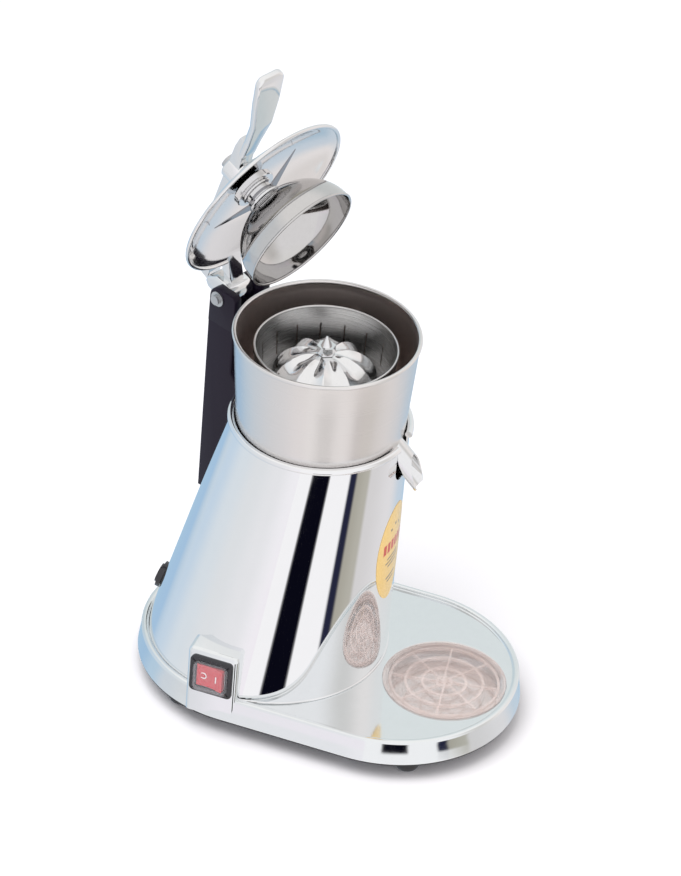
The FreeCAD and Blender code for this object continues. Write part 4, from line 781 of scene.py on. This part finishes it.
boot_x = FACE_X - BEZEL_DEEP - BOOT_DEEP / 2 - 0.02
boot = rounded_box((BOOT_DEEP, BOOT_LONG, BOOT_TALL), (boot_x, SWITCH_Y, SWITCH_Z), CORNER, 6,
                   True)
front_edges = [e for e in boot.edges if len(e.link_faces) == 2 and e.calc_face_angle(0) > 1.2
               and max(v.co.x for v in e.verts) < FACE_X - 5]
bmesh.ops.bevel(boot, geom=front_edges, offset=1.8, offset_type="OFFSET", affect="EDGES",
                segments=4, profile=0.5, material=-1)
bmesh.ops.recalc_face_normals(boot, faces=boot.faces)
bmesh.ops.solidify(boot, geom=boot.faces[:], thickness=0.8)
boot_skin = finished(boot, "boot_skin", "body", ["switch_boot"])
BOOT = surface("boot_clear", (0.80, 0.80, 0.84), 0.0, (0.03, 0.08), (200.0, 0.03), 500.0,
               alpha=0.09)
boot_skin.data.materials.append(BOOT)

# --------------------------------------------------------------- drip tray, grid
# The tray is a clear moulded dish with a faint rose tint. It drops into the well
# in the deck, and a ribbed clear grid rests on its ledge.
tray_line = [(0.0, 20.9), (46.5, 20.9), (47.3, 21.8), (47.5, 34.2), (49.4, 34.4), (49.8, 35.2),
             (49.2, 35.9), (46.6, 36.0), (45.2, 35.2), (45.0, 32.0), (43.4, 31.8)]
tray_line += [(43.0, 23.6), (42.0, 22.5), (40.0, 22.4)]
for radius in (32.0, 22.0, 12.0):
    tray_line += [(radius + 1.2, 22.4), (radius + 0.6, 23.4), (radius - 0.6, 23.4),
                  (radius - 1.2, 22.4)]
tray_line += [(4.0, 22.4), (2.6, 24.0), (0.0, 24.6)]
tray = spun(tray_line, 128, closed=False)
bmesh.ops.translate(tray, vec=(0, TRAY_Y, 0), verts=tray.verts)
tray_skin = finished(tray, "tray_skin", "tray", ["drip_tray"], crease=30)
ROSE = surface("tray_clear", (0.98, 0.84, 0.80), 0.0, (0.04, 0.10), (60.0, 0.02), 400.0,
               coat=0.8, alpha=0.28)
tray_skin.data.materials.append(ROSE)
dressed(ROSE, "drip_grid")

# ------------------------------------------------------------------- front label
# An oval printed film on the front of the shell: yellow with a red band, small
# stars above it and short grey rules below. It carries plain shapes only.
LABEL_Z = 147.9
LABEL_HALF_WIDE = 25.0
LABEL_HALF_TALL = 46.0
FILM = 0.22
label = bmesh.new()
bmesh.ops.create_circle(label, segments=96, radius=1.0, cap_ends=True, cap_tris=False)
bmesh.ops.scale(label, vec=(LABEL_HALF_WIDE, LABEL_HALF_TALL, 1.0), verts=label.verts)
for i in range(-11, 12):
    bmesh.ops.bisect_plane(label, geom=label.verts[:] + label.edges[:] + label.faces[:],
                           plane_co=(i * 2.2, 0, 0), plane_no=(1, 0, 0), dist=1e-4)
for i in range(-8, 9):
    bmesh.ops.bisect_plane(label, geom=label.verts[:] + label.edges[:] + label.faces[:],
                           plane_co=(0, i * 5.2, 0), plane_no=(0, 1, 0), dist=1e-4)
for v in label.verts:
    across, up = v.co.x, LABEL_Z + v.co.y
    share = (up - DECK_Z) / (SHELL_TOP - DECK_Z)
    radius = SHELL_LOW + (SHELL_HIGH - SHELL_LOW) * share
    centre_y = HALF_STRAIGHT + (AXIS_Y - HALF_STRAIGHT) * share
    v.co = Vector((across, centre_y - math.sqrt(radius * radius - across * across) - 0.05, up))
bmesh.ops.recalc_face_normals(label, faces=label.faces)
facing = label.faces[:]
if sum(f.normal.y for f in facing) > 0:
    bmesh.ops.reverse_faces(label, faces=facing)
bmesh.ops.solidify(label, geom=label.faces[:], thickness=-FILM)
label_skin = finished(label, "label_skin", "body", ["front_label"], crease=45)
PRINT = surface("label_print", (0.94, 0.64, 0.20), 0.0, (0.22, 0.32), (150.0, 0.01), 1200.0,
                shade=0.95, coat=0.2)
label_skin.data.materials.append(PRINT)


def printed(tree, spots, colour, under):
    """Prints rectangles of (across, up, half wide, half tall) over a colour."""
    where = tree.nodes.new("ShaderNodeTexCoord")
    split = tree.nodes.new("ShaderNodeSeparateXYZ")
    tree.links.new(where.outputs["Object"], split.inputs["Vector"])

    def within(axis, middle, half):
        node = tree.nodes.new("ShaderNodeMath")
        node.operation = "COMPARE"
        node.inputs[1].default_value = middle * MM
        node.inputs[2].default_value = half * MM
        tree.links.new(split.outputs[axis], node.inputs[0])
        return node.outputs["Value"]

    def joined(first, second, kind):
        node = tree.nodes.new("ShaderNodeMath")
        node.operation = kind
        tree.links.new(first, node.inputs[0])
        tree.links.new(second, node.inputs[1])
        return node.outputs["Value"]

    total = None
    for across, up, wide, tall in spots:
        spot = joined(within("X", across, wide), within("Z", up, tall), "MULTIPLY")
        total = spot if total is None else joined(total, spot, "MAXIMUM")
    mix = tree.nodes.new("ShaderNodeMix")
    mix.data_type = "RGBA"
    mix.inputs["B"].default_value = (*colour, 1)
    tree.links.new(total, mix.inputs["Factor"])
    tree.links.new(under, mix.inputs["A"])
    return mix.outputs["Result"]


tree = PRINT.node_tree
ground = next(n for n in tree.nodes if n.bl_idname == "ShaderNodeMix").outputs["Result"]
bands = [(x, LABEL_Z + 8.0, 2.2, 5.0) for x in (-15.0, -9.0, -3.0, 3.0, 9.0, 15.0)]
rules = [(0.0, LABEL_Z - 4.0, 10.0, 0.7), (0.0, LABEL_Z - 8.0, 12.0, 0.7),
         (0.0, LABEL_Z - 12.0, 8.0, 0.7), (0.0, LABEL_Z - 24.0, 9.0, 0.7),
         (0.0, LABEL_Z - 28.0, 6.0, 0.7)]
stars = [(-7.0, LABEL_Z + 24.0, 1.2, 1.2), (0.0, LABEL_Z + 27.0, 1.2, 1.2),
         (7.0, LABEL_Z + 24.0, 1.2, 1.2)]
ground = printed(tree, bands, (0.62, 0.06, 0.02), ground)
ground = printed(tree, rules + stars, (0.12, 0.10, 0.08), ground)
tree.links.new(ground, tree.nodes["Principled BSDF"].inputs["Base Color"])

# ------------------------------------------------------------------------- floor
# The machine stands on a plain white sweep, which takes its soft shadow. The polished
# metal mirrors the studio round it and not the sweep.
floor_mesh = bmesh.new()
bmesh.ops.create_grid(floor_mesh, x_segments=2, y_segments=2, size=6.0)
floor_data = bpy.data.meshes.new("floor")
floor_mesh.to_mesh(floor_data)
floor_mesh.free()
floor = bpy.data.objects.new("floor", floor_data)
bpy.context.scene.collection.objects.link(floor)
floor_paint = bpy.data.materials.new("floor_paint")
floor_paint.use_nodes = True
floor_shader = floor_paint.node_tree.nodes["Principled BSDF"]
floor_shader.inputs["Base Color"].default_value = (0.95, 0.935, 0.96, 1)
floor_shader.inputs["Roughness"].default_value = 0.9
floor_shader.inputs["Specular IOR Level"].default_value = 0.0
floor_data.materials.append(floor_paint)
floor.visible_glossy = False

# ------------------------------------------------------------- studio and camera
# White walls all round, a little blue to the left and rear and greyer behind the
# machine, with dark gaps between the lit panels low on one side.
world = bpy.data.worlds.new("studio")
bpy.context.scene.world = world
world.use_nodes = True
tree = world.node_tree
sky = tree.nodes["Background"]
toward = tree.nodes.new("ShaderNodeTexCoord")
split = tree.nodes.new("ShaderNodeSeparateXYZ")
tree.links.new(toward.outputs["Generated"], split.inputs["Vector"])
angle = tree.nodes.new("ShaderNodeMath")
angle.operation = "ARCTAN2"
tree.links.new(split.outputs["Y"], angle.inputs[0])
tree.links.new(split.outputs["X"], angle.inputs[1])
bearing = tree.nodes.new("ShaderNodeMapRange")
bearing.inputs["From Min"].default_value = -math.pi
bearing.inputs["From Max"].default_value = math.pi
tree.links.new(angle.outputs["Value"], bearing.inputs["Value"])


def colour_ring(stops):
    """Colours by bearing in degrees, where 180 looks along -X and 270 along -Y."""
    ramp = tree.nodes.new("ShaderNodeValToRGB")
    ramp.color_ramp.interpolation = "EASE"
    places = sorted(((degrees + 180) % 360 / 360, colour) for degrees, colour in stops)
    elements = ramp.color_ramp.elements
    while len(elements) < len(places):
        elements.new(0.5)
    for element, (spot, colour) in zip(elements, places):
        element.position = spot
        element.color = (*colour, 1)
    tree.links.new(bearing.outputs["Result"], ramp.inputs["Fac"])
    return ramp.outputs["Color"]


WHITE = (1.0, 0.99, 1.0)
DARK = (0.003, 0.003, 0.008)
NAVY = (0.02, 0.022, 0.05)
wall_stops = [(0, (0.80, 0.83, 0.83)), (25, (0.72, 0.78, 0.79)), (50, (0.62, 0.70, 0.74)),
              (80, (0.60, 0.72, 0.84)), (105, (0.74, 0.80, 0.85)), (130, (0.80, 0.82, 0.84)),
              (155, (0.86, 0.86, 0.88)), (178, (0.96, 0.94, 0.97)), (215, WHITE), (250, WHITE),
              (280, (0.72, 0.70, 0.68)), (310, (0.95, 0.90, 0.88)), (340, (0.86, 0.86, 0.86))]
walls = colour_ring(wall_stops)
low_stops = [(20, (0.40, 0.58, 0.74)), (60, (0.40, 0.58, 0.78)), (85, (0.52, 0.67, 0.81)),
             (105, (0.70, 0.74, 0.79)), (128, (0.76, 0.77, 0.79)), (150, (0.83, 0.82, 0.85)),
             (166, (0.97, 0.92, 0.97)), (180, WHITE), (194, WHITE), (196, DARK), (216, DARK),
             (218, WHITE), (242, WHITE), (245, NAVY), (251, NAVY), (255, (0.44, 0.42, 0.36)),
             (270, (0.50, 0.48, 0.42)), (276, (0.72, 0.70, 0.70)), (315, (0.80, 0.78, 0.79)),
             (345, (0.58, 0.68, 0.78))]
lows = colour_ring(low_stops)
steep_stops = [(5, (0.42, 0.56, 0.68)), (90, (0.66, 0.74, 0.82)), (140, (0.80, 0.80, 0.82)),
               (170, (0.88, 0.85, 0.84)), (200, (0.96, 0.93, 0.92)), (232, (0.94, 0.90, 0.89)),
               (255, (0.84, 0.79, 0.77)), (275, (0.80, 0.76, 0.74)), (300, (0.88, 0.84, 0.83)),
               (335, (0.62, 0.70, 0.78))]
steeps = colour_ring(steep_stops)


def layered(low_colour, high_colour, first, last):
    """Goes from one colour to another as the direction rises between two heights."""
    rise = tree.nodes.new("ShaderNodeMapRange")
    rise.inputs["From Min"].default_value = first
    rise.inputs["From Max"].default_value = last
    tree.links.new(split.outputs["Z"], rise.inputs["Value"])
    mix = tree.nodes.new("ShaderNodeMix")
    mix.data_type = "RGBA"
    tree.links.new(rise.outputs["Result"], mix.inputs["Factor"])
    tree.links.new(low_colour, mix.inputs["A"])
    tree.links.new(high_colour, mix.inputs["B"])
    return mix.outputs["Result"]


lower = layered(steeps, lows, -0.66, -0.63)
walls = layered(lower, walls, -0.46, -0.42)
high = tree.nodes.new("ShaderNodeMapRange")
high.inputs["From Min"].default_value = 0.55
high.inputs["From Max"].default_value = 0.85
tree.links.new(split.outputs["Z"], high.inputs["Value"])
blend = tree.nodes.new("ShaderNodeMix")
blend.data_type = "RGBA"
blend.inputs["B"].default_value = (1.0, 0.99, 0.98, 1)
tree.links.new(high.outputs["Result"], blend.inputs["Factor"])
tree.links.new(walls, blend.inputs["A"])
ray = tree.nodes.new("ShaderNodeLightPath")
plain = tree.nodes.new("ShaderNodeMix")
plain.data_type = "RGBA"
plain.inputs["B"].default_value = (1, 1, 1, 1)
tree.links.new(ray.outputs["Is Camera Ray"], plain.inputs["Factor"])
tree.links.new(blend.outputs["Result"], plain.inputs["A"])
tree.links.new(plain.outputs["Result"], sky.inputs["Color"])
sky.inputs["Strength"].default_value = 1.0

LAMP_AT = Vector((-0.5, 0.3, 1.6))
LAMP_AIM = Vector((0, 0, 0.2))
lamp_data = bpy.data.lights.new("overhead", "AREA")
lamp_data.energy = 15.0
lamp_data.size = 1.2
lamp = bpy.data.objects.new("overhead", lamp_data)
lamp.location = LAMP_AT
lamp.rotation_mode = "QUATERNION"
lamp.rotation_quaternion = (LAMP_AT - LAMP_AIM).to_track_quat("Z", "Y")
lamp.visible_glossy = False
bpy.context.scene.collection.objects.link(lamp)

DISTANCE = 4.70
azimuth, elevation, roll = math.radians(-71.383), math.radians(35.764), math.radians(4.653)
back = Vector((math.sin(azimuth) * math.cos(elevation), -math.cos(azimuth) * math.cos(elevation),
               math.sin(elevation)))
right = (-back).cross(Vector((0, 0, 1))).normalized()
up = right.cross(-back)
across = right * math.cos(roll) + up * math.sin(roll)
upward = up * math.cos(roll) - right * math.sin(roll)
target = Vector((0, -0.022, 0.2467)) - right * 0.02604
camera_data = bpy.data.cameras.new("camera")
camera_data.sensor_fit = "HORIZONTAL"
camera_data.sensor_width = 36.0
camera_data.lens = 317.5
camera = bpy.data.objects.new("camera", camera_data)
camera.matrix_world = Matrix.Translation(target + back * DISTANCE) @ Matrix(
    (across, upward, back)).transposed().to_4x4()
bpy.context.scene.collection.objects.link(camera)
bpy.context.scene.camera = camera
bpy.context.scene.view_settings.view_transform = "Standard"
